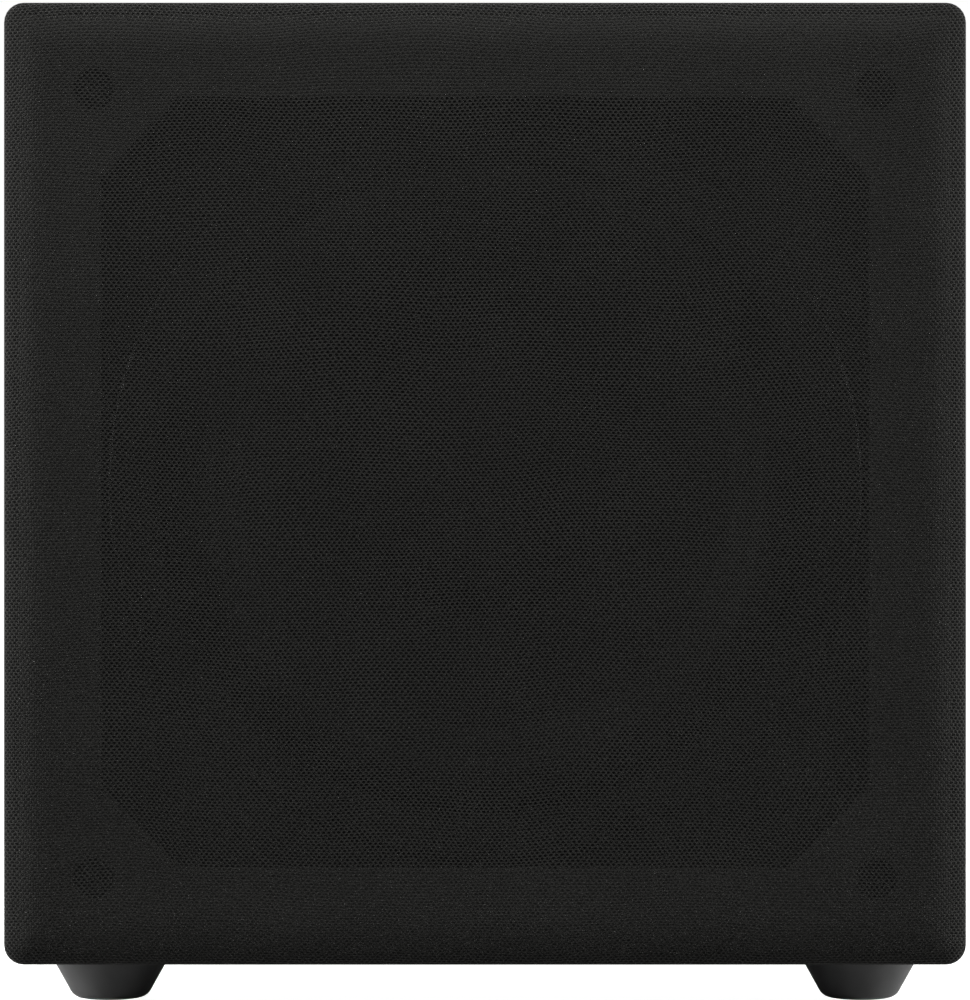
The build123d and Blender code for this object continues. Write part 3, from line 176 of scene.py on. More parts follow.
def knit_cloth():
    """Black mesh cloth: rows of staggered oval holes between round yarns, a little uneven, with painted
    shade in the holes.
    """
    pitch, row_pitch = 1.75 * MM, 1.07 * MM
    hole_w, hole_h = 0.34, 0.36
    see_through = 0.45
    recipe = Recipe("knit_cloth", roughness=0.9, Specular_IOR_Level=0.08, Sheen_Weight=0.03)
    flat = recipe.node("UVMap", "UV", {}, uv_map="cloth")
    pulled = recipe.wander(flat, 14.0, (9 * MM, 9 * MM, 0))
    warped = recipe.wander(pulled, 420.0, (0.3 * MM, 0.2 * MM, 0))
    rows = recipe.math("DIVIDE", recipe.axis(warped, "Y"), row_pitch)
    odd = recipe.math("FLOORED_MODULO", recipe.math("FLOOR", rows), 2.0)
    stagger = recipe.math("MULTIPLY", odd, 0.5)
    columns = recipe.math("ADD", recipe.math("DIVIDE", recipe.axis(warped, "X"), pitch), stagger)
    across = recipe.off_middle(columns, hole_w)
    along = recipe.off_middle(rows, hole_h)
    reach = recipe.math("SQRT", recipe.math("ADD", across, along))
    size = recipe.ramp(recipe.noise(flat, 900.0, 0.0), 0.3, 0.7, 0.85, 1.12)
    yarn = recipe.ramp(recipe.math("DIVIDE", reach, size), 0.7, 1.1)
    fuzz = recipe.ramp(recipe.noise(flat, 5200.0, 2.0), 0.35, 0.75, 0.7, 1.4)
    slow = recipe.ramp(recipe.noise(flat, 30.0, 2.0), 0.3, 0.7, 0.93, 1.07)
    lint = recipe.ramp(recipe.cells(flat, 22.0), 0.006, 0.012, 2.4, 1.0)
    # Inside each hole the colour falls to a twentieth: painted shade, for the dark space seen through the
    # holes, on the part of each hole that the alpha keeps filled.
    depth = recipe.ramp(yarn, 0.0, 1.0, 0.05, 1.0)
    tone = fuzz
    for share in (slow, lint, depth):
        tone = recipe.math("MULTIPLY", tone, share)
    tint = recipe.node("CombineColor", 0, {0: tone, 1: tone, 2: tone})
    recipe.set("Base Color", recipe.vector("MULTIPLY", tint, (0.0130, 0.0129, 0.0119)))
    # Past the bevel's outer edge the cloth lies tight on the board, and nothing shows through it.
    beside = recipe.vector("ABSOLUTE", flat, (0, 0, 0))
    furthest = recipe.math("MAXIMUM", recipe.axis(beside, "X"), recipe.axis(beside, "Y"))
    tight = recipe.ramp(furthest, HALF_FACE - 4 * MM, HALF_FACE - 3 * MM)
    filled = recipe.ramp(yarn, 0.0, 1.0, 1.0 - see_through, 1.0)
    recipe.set("Alpha", recipe.math("MAXIMUM", filled, tight))
    recipe.bump(recipe.ramp(reach, 0.7, 1.7), 0.25 * MM)
    return recipe.material


BOARD_DARK, BOARD_LIGHT = (0.26, 0.16, 0.08), (0.5, 0.36, 0.21)


def under_the_wrap(recipe, here):
    """0 on the cabinet's outside and its rounded edges, and 1 on the surfaces further in."""
    across = recipe.math("ABSOLUTE", recipe.axis(here, "X"))
    ways_in = [
        recipe.math("SUBTRACT", CABINET_TOP.x, across),
        recipe.math("SUBTRACT", CABINET_TOP.z, recipe.axis(here, "Z")),
        recipe.math("SUBTRACT", recipe.axis(here, "Z"), CABINET_LOW.z),
        recipe.math("SUBTRACT", CABINET_BACK_Y, recipe.axis(here, "Y")),
        recipe.math("SUBTRACT", recipe.axis(here, "Y"), CABINET_LOW.y),
    ]
    depth = ways_in[0]
    for way in ways_in[1:]:
        depth = recipe.math("MINIMUM", depth, way)
    # The rounded edges lie up to 2.1 mm inside the cabinet's box.
    return recipe.ramp(depth, 2.4 * MM, 2.6 * MM)


def wood_vinyl(name, grain_axis):
    """Fibreboard wrapped outside in black ash vinyl, with long shallow pores along one axis."""
    recipe = Recipe(name, Specular_IOR_Level=0.35)
    along = {"x": (0.03, 1.0, 1.0), "y": (1.0, 0.03, 1.0)}[grain_axis]
    pores = recipe.noise(recipe.place(along), 900.0, 4.0)
    bands = recipe.noise(recipe.place(along), 90.0, 3.0)
    fibres = recipe.noise(recipe.place((1.0, 0.25, 1.0)), 1400.0, 5.0)
    bare = under_the_wrap(recipe, recipe.place())
    vinyl = recipe.blend(bands, (0.01, 0.01, 0.0105), (0.02, 0.0195, 0.0195))
    board = recipe.blend(fibres, BOARD_DARK, BOARD_LIGHT)
    recipe.set("Base Color", recipe.mix(bare, vinyl, board))
    satin = recipe.ramp(pores, 0.4, 0.65, 0.6, 0.42)
    recipe.set("Roughness", recipe.math("MAXIMUM", satin, recipe.math("MULTIPLY", bare, 0.85)))
    recipe.bump(recipe.ramp(pores, 0.42, 0.58), 0.12 * MM)
    return recipe.material


def painted_board(name, color):
    """Fibreboard under satin black paint."""
    recipe = Recipe(name, color, 0.6)
    tone = recipe.speckle(700.0, 0.06 * MM)
    recipe.set("Base Color", recipe.blend(tone, [c * 0.8 for c in color], [c * 1.25 for c in color]))
    return recipe.material


def raw_board():
    """Bare fibreboard: pressed fibres in two browns."""
    recipe = Recipe("raw_board", roughness=0.85)
    fibres = recipe.noise(recipe.place((1.0, 0.25, 1.0)), 1400.0, 5.0)
    recipe.set("Base Color", recipe.blend(fibres, BOARD_DARK, BOARD_LIGHT))
    recipe.bump(fibres, 0.1 * MM)
    return recipe.material


def wadding():
    """Off-white polyester wadding, matted in soft tufts."""
    recipe = Recipe("wadding", roughness=0.95, Sheen_Weight=0.4)
    tufts = recipe.noise(recipe.place(), 260.0, 6.0)
    recipe.set("Base Color", recipe.blend(tufts, (0.5, 0.5, 0.47), (0.86, 0.86, 0.83)))
    recipe.bump(tufts, 1.5 * MM)
    return recipe.material


def moulded_rubber(name, shade, roughness, gloss=0.5):
    """Rubber from a fine-blasted mould, with a faint bloom."""
    recipe = Recipe(name, roughness=roughness, Specular_IOR_Level=gloss)
    bloom = recipe.noise(recipe.place(), 120.0, 4.0)
    dark, light = [shade * 0.7] * 3, [shade * 1.6] * 3
    recipe.set("Base Color", recipe.blend(bloom, dark, light))
    recipe.set("Roughness", recipe.ramp(bloom, 0.35, 0.7, roughness - 0.06, roughness + 0.08))
    recipe.bump(recipe.noise(recipe.place(), 2600.0, 2.0), 0.03 * MM)
    return recipe.material


def moulded_plastic(name, shade=0.022, roughness=0.48, texture=0.03):
    """Black plastic with a spark-eroded surface."""
    recipe = Recipe(name, roughness=roughness)
    grain = recipe.speckle(2200.0, texture * MM)
    recipe.set("Base Color", recipe.blend(grain, [shade * 0.85] * 3, [shade * 1.15] * 3))
    return recipe.material


def closed_foam():
    """Charcoal closed-cell foam strip."""
    recipe = Recipe("foam", roughness=0.9)
    cells = recipe.cells(recipe.place(), 1500.0)
    recipe.set("Base Color", recipe.blend(cells, (0.02, 0.02, 0.02), (0.07, 0.07, 0.07)))
    recipe.bump(cells, 0.2 * MM)
    return recipe.material


def powder_coat(name, shade, roughness=0.5):
    """Powder coat: orange peel under a satin gloss."""
    recipe = Recipe(name, roughness=roughness)
    peel = recipe.speckle(1100.0, 0.05 * MM)
    recipe.set("Base Color", recipe.blend(peel, [shade * 0.9] * 3, [shade * 1.1] * 3))
    return recipe.material


def bare_metal(name, color, roughness, stretch=(1.0, 1.0, 1.0), scale=900.0):
    """Metal with fine tool marks along the axes that stretch makes long."""
    recipe = Recipe(name, color, roughness, 1.0)
    marks = recipe.noise(recipe.place(stretch), scale, 3.0)
    recipe.set("Base Color", recipe.blend(marks, [c * 0.85 for c in color], color))
    recipe.set("Roughness", recipe.ramp(marks, 0.3, 0.7, roughness * 0.8, roughness * 1.3))
    recipe.bump(marks, 0.01 * MM)
    return recipe.material


def black_oxide():
    """Blackened steel screws."""
    recipe = Recipe("black_oxide", (0.04, 0.04, 0.042), 0.42, 0.8)
    wear = recipe.speckle(1800.0, 0.02 * MM)
    recipe.set("Base Color", recipe.blend(wear, (0.03, 0.03, 0.032), (0.06, 0.06, 0.064)))
    return recipe.material


def ferrite():
    """Sintered ferrite: dull grey-black with a few pale specks."""
    recipe = Recipe("ferrite", roughness=0.7)
    specks = recipe.cells(recipe.place(), 700.0)
    pale = recipe.ramp(specks, 0.02, 0.1)
    recipe.set("Base Color", recipe.blend(pale, (0.16, 0.16, 0.16), (0.035, 0.035, 0.037)))
    recipe.bump(recipe.noise(recipe.place(), 1500.0, 3.0), 0.06 * MM)
    return recipe.material


def coated_pulp():
    """Paper cone, pressed from black pulp and thinly coated."""
    recipe = Recipe("cone_pulp", roughness=0.75, Specular_IOR_Level=0.15)
    fibres = recipe.noise(recipe.place(), 600.0, 8.0)
    recipe.set("Base Color", recipe.blend(fibres, (0.006, 0.006, 0.006), (0.016, 0.016, 0.016)))
    recipe.bump(fibres, 0.25 * MM)
    return recipe.material


def resin_cloth():
    """The spider's amber woven cloth."""
    recipe = Recipe("spider_cloth", roughness=0.7)
    here = recipe.place()
    threads = [recipe.ridges(recipe.axis(here, name), 0.5 * MM) for name in ("X", "Z")]
    weave = recipe.math("ADD", *threads)
    recipe.set("Base Color", recipe.blend(weave, (0.22, 0.12, 0.03), (0.62, 0.42, 0.16)))
    recipe.bump(weave, 0.15 * MM)
    return recipe.material


def wound_copper():
    """Enamelled copper wire, its turns side by side along Y."""
    recipe = Recipe("copper", roughness=0.3, metallic=1.0)
    ridge = recipe.ridges(recipe.axis(recipe.place(), "Y"), 0.45 * MM)
    recipe.set("Base Color", recipe.blend(ridge, (0.35, 0.12, 0.05), (0.85, 0.4, 0.2)))
    recipe.bump(ridge, 0.1 * MM)
    return recipe.material


def lead_braid():
    """Tinsel leads: fine copper strands plaited on the slant."""
    recipe = Recipe("lead_braid", roughness=0.4, metallic=0.9)
    here = recipe.place()
    slant = recipe.math("ADD", recipe.axis(here, "X"), recipe.axis(here, "Y"))
    counter = recipe.math("SUBTRACT", recipe.axis(here, "X"), recipe.axis(here, "Z"))
    plait = recipe.math("ADD", recipe.ridges(slant, 0.35 * MM), recipe.ridges(counter, 0.35 * MM))
    recipe.set("Base Color", recipe.blend(plait, (0.25, 0.1, 0.05), (0.8, 0.42, 0.24)))
    recipe.bump(plait, 0.12 * MM)
    return recipe.material


def circuit_board():
    """Green solder mask over copper tracks, with silver joints."""
    recipe = Recipe("circuit_board", roughness=0.35, Coat_Weight=0.4)
    here = recipe.place()
    grid = {"Vector": recipe.place((1.0, 0.0, 1.0)), "Scale": 90.0, "Mortar Size": 0.06}
    tracks = recipe.node("TexBrick", "Fac", grid)
    joints = recipe.ramp(recipe.cells(here, 220.0), 0.14, 0.18)
    green = recipe.blend(tracks, (0.01, 0.13, 0.05), (0.03, 0.24, 0.09))
    recipe.set("Base Color", recipe.mix(joints, (0.7, 0.7, 0.7, 1.0), green))
    recipe.bump(tracks, 0.05 * MM)
    return recipe.material


def can_sleeve():
    """A capacitor's shrink sleeve, dark blue with a pale polarity stripe."""
    recipe = Recipe("capacitor", roughness=0.25)
    stripe_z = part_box("capacitors")[1].z - 2.5 * MM
    stripe = recipe.ramp(recipe.axis(recipe.place(), "Z"), stripe_z, stripe_z + 0.5 * MM)
    recipe.set("Base Color", recipe.blend(stripe, (0.01, 0.013, 0.04), (0.55, 0.56, 0.58)))
    recipe.bump(recipe.noise(recipe.place(), 300.0, 2.0), 0.05 * MM)
    return recipe.material


def taped_winding():
    """The toroid's overlapping turns of polyester tape, round its upright axis."""
    recipe = Recipe("toroid", roughness=0.28, Coat_Weight=0.3)
    centre = middle("power_transformer")
    out = recipe.vector("SUBTRACT", recipe.place(), (centre.x, centre.y, 0.0))
    angle = recipe.math("ARCTAN2", recipe.axis(out, "Y"), recipe.axis(out, "X"))
    turns_per_radian = 9.0
    lap = recipe.math("FRACT", recipe.math("MULTIPLY", angle, turns_per_radian))
    recipe.set("Base Color", recipe.blend(lap, (0.34, 0.1, 0.02), (0.6, 0.25, 0.06)))
    recipe.bump(lap, 0.3 * MM)
    return recipe.material


def jack_plastic():
    """The jacks' insulators: red on the right channel, white on the left."""
    recipe = Recipe("jack_insert", roughness=0.35)
    between = middle("rca_inserts").x
    side = recipe.ramp(recipe.axis(recipe.place(), "X"), between - MM, between + MM)
    recipe.set("Base Color", recipe.blend(side, (0.75, 0.74, 0.7), (0.55, 0.02, 0.02)))
    recipe.bump(recipe.noise(recipe.place(), 1500.0, 2.0), 0.02 * MM)
    return recipe.material


def fuse_glass():
    """Clear glass between two nickel caps."""
    recipe = Recipe("fuse", roughness=0.12)
    along = recipe.math("SUBTRACT", recipe.axis(recipe.place(), "X"), middle("fuse").x)
    cap = recipe.ramp(recipe.math("ABSOLUTE", along), 4.9 * MM, 5.1 * MM)
    recipe.set("Base Color", recipe.blend(cap, (0.85, 0.9, 0.9), (0.75, 0.72, 0.66)))
    recipe.set("Metallic", cap)
    recipe.set("Alpha", recipe.math("MAXIMUM", cap, 0.35))
    return recipe.material


def lamp_lens():
    """The status lamp's green lens, unlit, with a faint moulded frost."""
    recipe = Recipe("status_led", (0.03, 0.32, 0.08), 0.18, Transmission_Weight=0.25)
    frost = recipe.noise(recipe.place(), 3000.0, 1.0)
    recipe.set("Roughness", recipe.ramp(frost, 0.3, 0.7, 0.12, 0.3))
    return recipe.material


def wire_sleeve():
    """Soft red sleeve on the speaker wires, with slight unevenness."""
    recipe = Recipe("wire_sleeve", roughness=0.4)
    wave = recipe.noise(recipe.place(), 150.0, 2.0)
    recipe.set("Base Color", recipe.blend(wave, (0.32, 0.012, 0.01), (0.48, 0.02, 0.016)))
    recipe.bump(wave, 0.1 * MM)
    return recipe.material


def white_print():
    """Screen-printed marks, slightly broken at their edges."""
    recipe = Recipe("white_print", roughness=0.55)
    ink = recipe.noise(recipe.place(), 2400.0, 2.0)
    recipe.set("Base Color", recipe.blend(ink, (0.5, 0.5, 0.5), (0.72, 0.72, 0.72)))
    return recipe.material


def all_finishes():
    """The material for each of the record's slots."""
    return {
        "black_vinyl": wood_vinyl("black_vinyl", "y"),
        "baffle_board": painted_board("baffle_board", (0.02, 0.02, 0.02)),
        "raw_board": raw_board(),
        "wadding": wadding(),
        "foot_rubber": moulded_rubber("foot_rubber", 0.034, 0.42),
        "zinc_steel": bare_metal("zinc_steel", (0.62, 0.61, 0.58), 0.35),
        "black_steel": black_oxide(),
        "grille_cloth": knit_cloth(),
        "frame_board": painted_board("frame_board", (0.11, 0.11, 0.105)),
        "black_plastic": moulded_plastic("black_plastic"),
        "soft_rubber": moulded_rubber("soft_rubber", 0.01, 0.55, 0.2),
        "foam": closed_foam(),
        "cast_frame": powder_coat("cast_frame", 0.022, 0.45),
        "plated_steel": bare_metal("plated_steel", (0.42, 0.42, 0.43), 0.38, scale=500.0),
        "ferrite": ferrite(),
        "cone_pulp": coated_pulp(),
        "spider_cloth": resin_cloth(),
        "former": bare_metal("former", (0.75, 0.75, 0.76), 0.3, (1.0, 0.1, 1.0)),
        "copper": wound_copper(),
        "amp_plate": powder_coat("amp_plate", 0.02),
        "heatsink": bare_metal("heatsink", (0.035, 0.035, 0.037), 0.42, (1.0, 1.0, 0.02), 1600.0),
        "circuit_board": circuit_board(),
        "capacitor": can_sleeve(),
        "toroid": taped_winding(),
        "nickel": bare_metal("nickel", (0.72, 0.69, 0.62), 0.2),
        "jack_insert": jack_plastic(),
        "fuse_glass": fuse_glass(),
        "rocker": moulded_plastic("rocker", 0.018, 0.22, 0.005),
        "shaft_steel": bare_metal("shaft_steel", (0.6, 0.6, 0.6), 0.3, (1.0, 8.0, 1.0)),
        "knob": moulded_plastic("knob", 0.02, 0.4),
        "led": lamp_lens(),
        "wire_sleeve": wire_sleeve(),
    }


def paint_nodes(finishes):
    """Gives every CAD node its slot's finish. The back panel's grain runs across."""
    across = wood_vinyl("black_vinyl_across", "x")
    for part in frame["record"]["subparts"]:
        node = frame["nodes"][part["node"]]
        node.data.materials.clear()
        finish = across if part["node"] == "back_panel" else finishes[part["material_slot"]]
        node.data.materials.append(finish)


# ---------------------------------------------------------------- mesh helpers
def add_object(name, data):
    """Puts a mesh, text, lamp or camera in the scene."""
    item = bpy.data.objects.new(name, data)
    bpy.context.collection.objects.link(item)
    return item


def new_piece(name, points, faces, finish, body, smooth=True):
    """A mesh piece, which rides on a body if one is named."""
    mesh = bpy.data.meshes.new(name)
    mesh.from_pydata(points, [], faces)
    mesh.materials.append(finish)
    mesh.polygons.foreach_set("use_smooth", [smooth] * len(faces))
    piece = add_object(name, mesh)
    if body:
        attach(piece, body)
    return piece


def strip_faces(rings, count):
    """Quads between neighbouring closed rings of count points each."""
    faces = []
    for ring in range(rings - 1):
        for i in range(count):
            j = (i + 1) % count
            a, b = ring * count, (ring + 1) * count
            faces.append((a + i, a + j, b + j, b + i))
    return faces


def rounded_square(half, corner, side_points, corner_points):
    """(x, z, outward x, outward z) round a square with rounded corners."""
    corner = min(corner, half)
    straight = half - corner
    ring = []
    for quarter in range(4):
        turn = quarter * math.pi / 2
        c, s = math.cos(turn), math.sin(turn)
        local = []
        for i in range(side_points):
            local.append((half, straight * (2 * i / side_points - 1), 1.0, 0.0))
        for i in range(corner_points):
            a = math.pi / 2 * i / corner_points
            out = (math.cos(a), math.sin(a))
            local.append((straight + corner * out[0], straight + corner * out[1], *out))
        for x, z, u, v in local:
            ring.append((x * c - z * s, x * s + z * c, u * c - v * s, u * s + v * c))
    return ring


# ---------------------------------------------------------------- the grille's cloth
BEVEL_WIDTH, BEVEL_DEPTH, BEVEL_EDGE = 18 * MM, 3.4 * MM, 1.2 * MM
BEVEL_CURVE = 2.5
FACE_CORNER = 6.8 * MM
HEM = 14 * MM


def cloth_profile():
    """(inset from the face's edge, depth behind the front) from the front's rim to the hem's end."""
    back, steps = GRILLE_DEPTH, 14
    bevel = []
    for step in range(steps + 1):
        share = step / steps
        inset = BEVEL_WIDTH + share * (BEVEL_EDGE - BEVEL_WIDTH)
        bevel.append((inset, BEVEL_DEPTH * share**BEVEL_CURVE))
    return [
        *bevel,
        (0.35 * MM, BEVEL_DEPTH + 0.75 * MM),
        (0.0, BEVEL_DEPTH + 1.7 * MM),
        (0.0, back * 0.6),
        (0.0, back - 0.8 * MM),
        (0.25 * MM, back - 0.25 * MM),
        (0.8 * MM, back),
        (HEM / 2, back),
        (HEM, back),
    ]


def cloth_corner(inset, depth):
    """The corner radius of the cloth's outline at a place on its profile."""
    if depth > BEVEL_DEPTH or inset < BEVEL_EDGE:
        return max(FACE_CORNER - inset, 0.5 * MM)
    edge = FACE_CORNER - BEVEL_EDGE
    share = (min(inset, BEVEL_WIDTH) - BEVEL_EDGE) / (BEVEL_WIDTH - BEVEL_EDGE)
    return edge + (1.0 * MM - edge) * share


def grille_cloth(finish):
    """One sheet, stretched over the front, the bevel and the sides, and turned on to the back."""
    side_points, corner_points, front_rings = 72, 6, 40
    flat_half = HALF_FACE - BEVEL_WIDTH
    # Each station is an inset, a depth, and how far along the cloth it is past the flat front.
    stations = []
    for k in range(1, front_rings):
        inset = HALF_FACE - flat_half * k / front_rings
        stations.append((inset, 0.0, BEVEL_WIDTH - inset))
    run, last = 0.0, (BEVEL_WIDTH, 0.0)
    for inset, depth in cloth_profile():
        run += math.dist(last, (inset, depth))
        stations.append((inset, depth, run))
        last = (inset, depth)
    points, flat = [], []
    for inset, depth, past in stations:
        # Opened out flat, the cloth keeps its place on the front and spreads past it.
        spread = past - (BEVEL_WIDTH - inset)
        corner = cloth_corner(inset, depth)
        for x, z, out_x, out_z in rounded_square(HALF_FACE - inset, corner, side_points, corner_points):
            points.append((x, FRONT_Y + depth, AXIS_Z + z))
            flat.append((x + spread * out_x, z + spread * out_z))
    count = 4 * (side_points + corner_points)
    faces = strip_faces(len(stations), count)
    points.append((0.0, FRONT_Y, AXIS_Z))
    flat.append((0.0, 0.0))
    faces += [(len(points) - 1, (i + 1) % count, i) for i in range(count)]
    piece = new_piece("grille_sheet", points, faces, finish, "grille")
    layer = piece.data.uv_layers.new(name="cloth")
    for loop in piece.data.loops:
        layer.data[loop.index].uv = flat[loop.vertex_index]
    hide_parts("grille_cloth", "cloth_hem")


def staple(x, z, along):
    """Points and faces of one bent wire lying on the hem, its crown along a unit (x, z)."""
    half_crown, wire, sides = 5 * MM, 0.6 * MM, 8
    top = GRILLE_HIGH.y + 0.1 * MM + wire / 2
    # Rings up one leg, along the crown and down the other: place, height, and way out of the bend.
    rings = [
        (-half_crown, -wire, (-1, 0)),
        (-half_crown, 0.0, (-1, 1)),
        (half_crown, 0.0, (1, 1)),
        (half_crown, -wire, (1, 0)),
    ]
    points = []
    for place, height, (lean, lift) in rings:
        for k in range(sides):
            angle = 2 * math.pi * k / sides
            width, thick = wire / 2 * math.cos(angle), wire / 2 * math.sin(angle)
            run = place + thick * lean
            points.append((
                x + along[0] * run - along[1] * width,
                top + height + thick * lift,
                z + along[1] * run + along[0] * width,
            ))
    faces = strip_faces(len(rings), sides)
    faces.append(tuple(reversed(range(sides))))
    faces.append(tuple(range(len(points) - sides, len(points))))
    return points, faces


def hem_staples(finish):
    """Wire staples that hold the turned-over cloth on the frame's back, a few to each side."""
    per_side, corner_gap = 9, 30 * MM
    inset = HALF_FACE - HEM * 0.6
    reach = inset - corner_gap
    points, faces = [], []
    for side in range(4):
        c, s = round(math.cos(side * math.pi / 2)), round(math.sin(side * math.pi / 2))
        for i in range(per_side):
            run = -reach + 2 * reach * i / (per_side - 1)
            wire, sides = staple(inset * c - run * s, AXIS_Z + inset * s + run * c, (-s, c))
            faces += [tuple(len(points) + k for k in face) for face in sides]
            points += wire
    piece = new_piece("hem_staples", points, faces, finish, "grille")


# ---------------------------------------------------------------- the driver's bending parts
def turned_piece(name, outline, finish, segments=144):
    """A closed outline of (radius, y) turned about the driver's axis."""
    points = []
    for i in range(segments):
        a = 2 * math.pi * i / segments
        points += [(r * math.cos(a), y, AXIS_Z + r * math.sin(a)) for r, y in outline]
    count = len(outline)
    faces = strip_faces(segments, count)
    last = (segments - 1) * count
    faces += [(last + i, last + (i + 1) % count, (i + 1) % count, i) for i in range(count)]
    return new_piece(name, points, faces, finish, None)


def bend_by_radius(piece):
    """Bakes the piece's placement into its mesh."""
    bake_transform(piece)


def surround(finish):
    """The half roll between two flat lips, with a thin moulded line along its crown."""
    low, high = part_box("surround")
    outer_r = (high.x - low.x) / 2
    wall, roll_r, lip_w = 1.2 * MM, 10 * MM, 7.5 * MM
    base_y = high.y
    middle_r = outer_r - lip_w - roll_r
    steps = 24
    front, back = [], []
    for i in range(steps + 1):
        a = math.pi * i / steps
        crown = 0.25 * MM if i in (steps // 2 - 1, steps // 2 + 1) else 0.0
        for side, radius in ((front, roll_r + wall / 2 - crown), (back, roll_r - wall / 2)):
            side.append((middle_r + radius * math.cos(a), base_y - wall / 2 - radius * math.sin(a)))
    inner_r = middle_r - roll_r - lip_w
    outline = [(outer_r, base_y), (outer_r, base_y - wall), *front]
    outline += [(inner_r, base_y - wall), (inner_r, base_y), *reversed(back)]
    piece = turned_piece("surround_roll", outline, finish)
    bend_by_radius(piece)
    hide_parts("surround")


def spider(finish):
    """Round corrugations of treated cloth between the coil former and the basket's ledge."""
    low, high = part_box("spider")
    outer_r, inner_r = (high.x - low.x) / 2, 25.5 * MM
    wall, ridges, steps_per_ridge = 0.8 * MM, 11, 8
    swing = (high.y - low.y - wall) / 2
    base_y = (high.y + low.y) / 2
    flat_in, flat_out = inner_r + 4 * MM, outer_r - 9 * MM
    steps = ridges * steps_per_ridge
    wave = [(inner_r, 0.0)]
    for i in range(steps + 1):
        share = i / steps
        height = swing * math.sin(2 * math.pi * ridges * share)
        wave.append((flat_in + (flat_out - flat_in) * share, height))
    wave.append((outer_r, 0.0))
    outline = [(r, base_y + h - wall / 2) for r, h in wave]
    outline += [(r, base_y + h + wall / 2) for r, h in reversed(wave)]
    piece = turned_piece("spider_disc", outline, finish, 120)
    bend_by_radius(piece)
    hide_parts("spider")


def braided_leads(finish):
    """The two leads between the terminal board and the cone: the CAD node's mesh, in braid."""
    mesh = frame["nodes"]["lead_wires"].data.copy()
    mesh.materials.clear()
    mesh.materials.append(finish)
    piece = add_object("braided_leads", mesh)
    bend_by_radius(piece)
    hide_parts("lead_wires")


# ---------------------------------------------------------------- padding
def damping_pad(side, finish):
    """A slab of wadding with soft edges and a lumpy face, glued to a side wall."""
    thick, lump_depth, lump_scale = 18 * MM, 1.6 * MM, 45
    low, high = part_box("damping_pads")
    wall_x = high.x if side > 0 else low.x
    size = Vector((thick, high.y - low.y, high.z - low.z))
    centre = Vector((wall_x - side * thick / 2, (low.y + high.y) / 2, (low.z + high.z) / 2))
    bpy.ops.mesh.primitive_cube_add(size=1)
    piece = bpy.context.object
    piece.name = "wadding_right" if side > 0 else "wadding_left"
    mesh = piece.data
    # The slab is cut a little smaller than its space, to leave room for its lumps.
    shrink = 0.94
    for vertex in mesh.vertices:
        vertex.co = Vector(vertex.co[k] * size[k] * shrink for k in range(3)) + centre
    cuts = piece.modifiers.new("cuts", "REMESH")
    cuts.mode, cuts.voxel_size = "VOXEL", size.y / 16
    round_off = piece.modifiers.new("round_off", "SMOOTH")
    round_off.iterations = 3
    bpy.ops.object.modifier_apply(modifier=cuts.name)
    bpy.ops.object.modifier_apply(modifier=round_off.name)
    for vertex in mesh.vertices:
        # The side that is glued to the wall stays flat.
        if (wall_x - vertex.co.x) * side > thick * 0.3:
            vertex.co.x -= side * lump_depth * noise.noise(vertex.co * lump_scale)
    mesh.shade_smooth()
    mesh.materials.append(finish)
    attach(piece, "cabinet")
    return piece


# ---------------------------------------------------------------- printed marks
PRINT_LIFT = 0.05 * MM


def mark_bars(name, bars, y, finish, body):
    """Flat printed bars on a surface facing +Y: each (x, z, angle, length, width)."""
    points, faces = [], []
    for x, z, angle, length, width in bars:
        c, s = math.cos(angle), math.sin(angle)
        start = len(points)
        for u, v in ((-length, -width), (length, -width), (length, width), (-length, width)):
            points.append((x + (u * c - v * s) / 2, y + PRINT_LIFT, z + (u * s + v * c) / 2))
        # Seen from behind the box, this order faces the viewer.
        faces.append((start + 3, start + 2, start + 1, start))
    piece = new_piece(name, points, faces, finish, body, smooth=False)


def printed_text(name, words, x, z, size, finish):
    """Numerals printed on the amplifier's plate, read from behind the box."""
    curve = bpy.data.curves.new(name, "FONT")
    curve.body = words
    curve.size = size
    curve.align_x, curve.align_y = "CENTER", "CENTER"
    curve.extrude = 0.02 * MM
    label = add_object(name, curve)
    label.location = (x, PANEL_FACE_Y + PRINT_LIFT, z)
    label.rotation_euler = (math.pi / 2, 0, math.pi)
    label.data.materials.append(finish)
    bpy.context.view_layer.update()
    piece = add_object(name, bpy.data.meshes.new_from_object(label))
    piece.matrix_world = label.matrix_world
    bpy.data.objects.remove(label)
    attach(piece, "cabinet")


def dial_marks(knob, numbers, finish):
    """Eleven ticks round a knob over its 300 degrees, and numerals at the ends and the top."""
    centre = middle(knob)
    ticks, sweep = 11, 300
    radius, tick_length, tick_width = 14.5 * MM, 2.6 * MM, 0.5 * MM
    numeral_radius, numeral_size = radius + 4.5 * MM, 3.6 * MM
    bars = []
    for i in range(ticks):
        angle = math.radians(90 - sweep / 2 + sweep * i / (ticks - 1))
        x, z = centre.x + radius * math.cos(angle), centre.z + radius * math.sin(angle)
        bars.append((x, z, angle, tick_length, tick_width))
    mark_bars(f"{knob}_ticks", bars, PANEL_FACE_Y, finish, "cabinet")
    for words, share in numbers:
        # Seen from behind, X runs to the left, and the numbers rise clockwise.
        angle = math.radians(90 + sweep / 2 - sweep * share)
        x = centre.x - numeral_radius * math.cos(angle)
        z = centre.z + numeral_radius * math.sin(angle)
        printed_text(f"{knob}_{words}", words, x, z, numeral_size, finish)


def knob_pointer(knob, body, finish):
    """The painted line in the knob's groove."""
    centre = middle(knob)
    groove_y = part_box(knob)[1].y - 0.6 * MM
    line_middle, length, width = 5.6 * MM, 7 * MM, 0.8 * MM
    bar = (centre.x, centre.z + line_middle, math.pi / 2, length, width)
    mark_bars(f"{knob}_pointer", [bar], groove_y, finish, body)


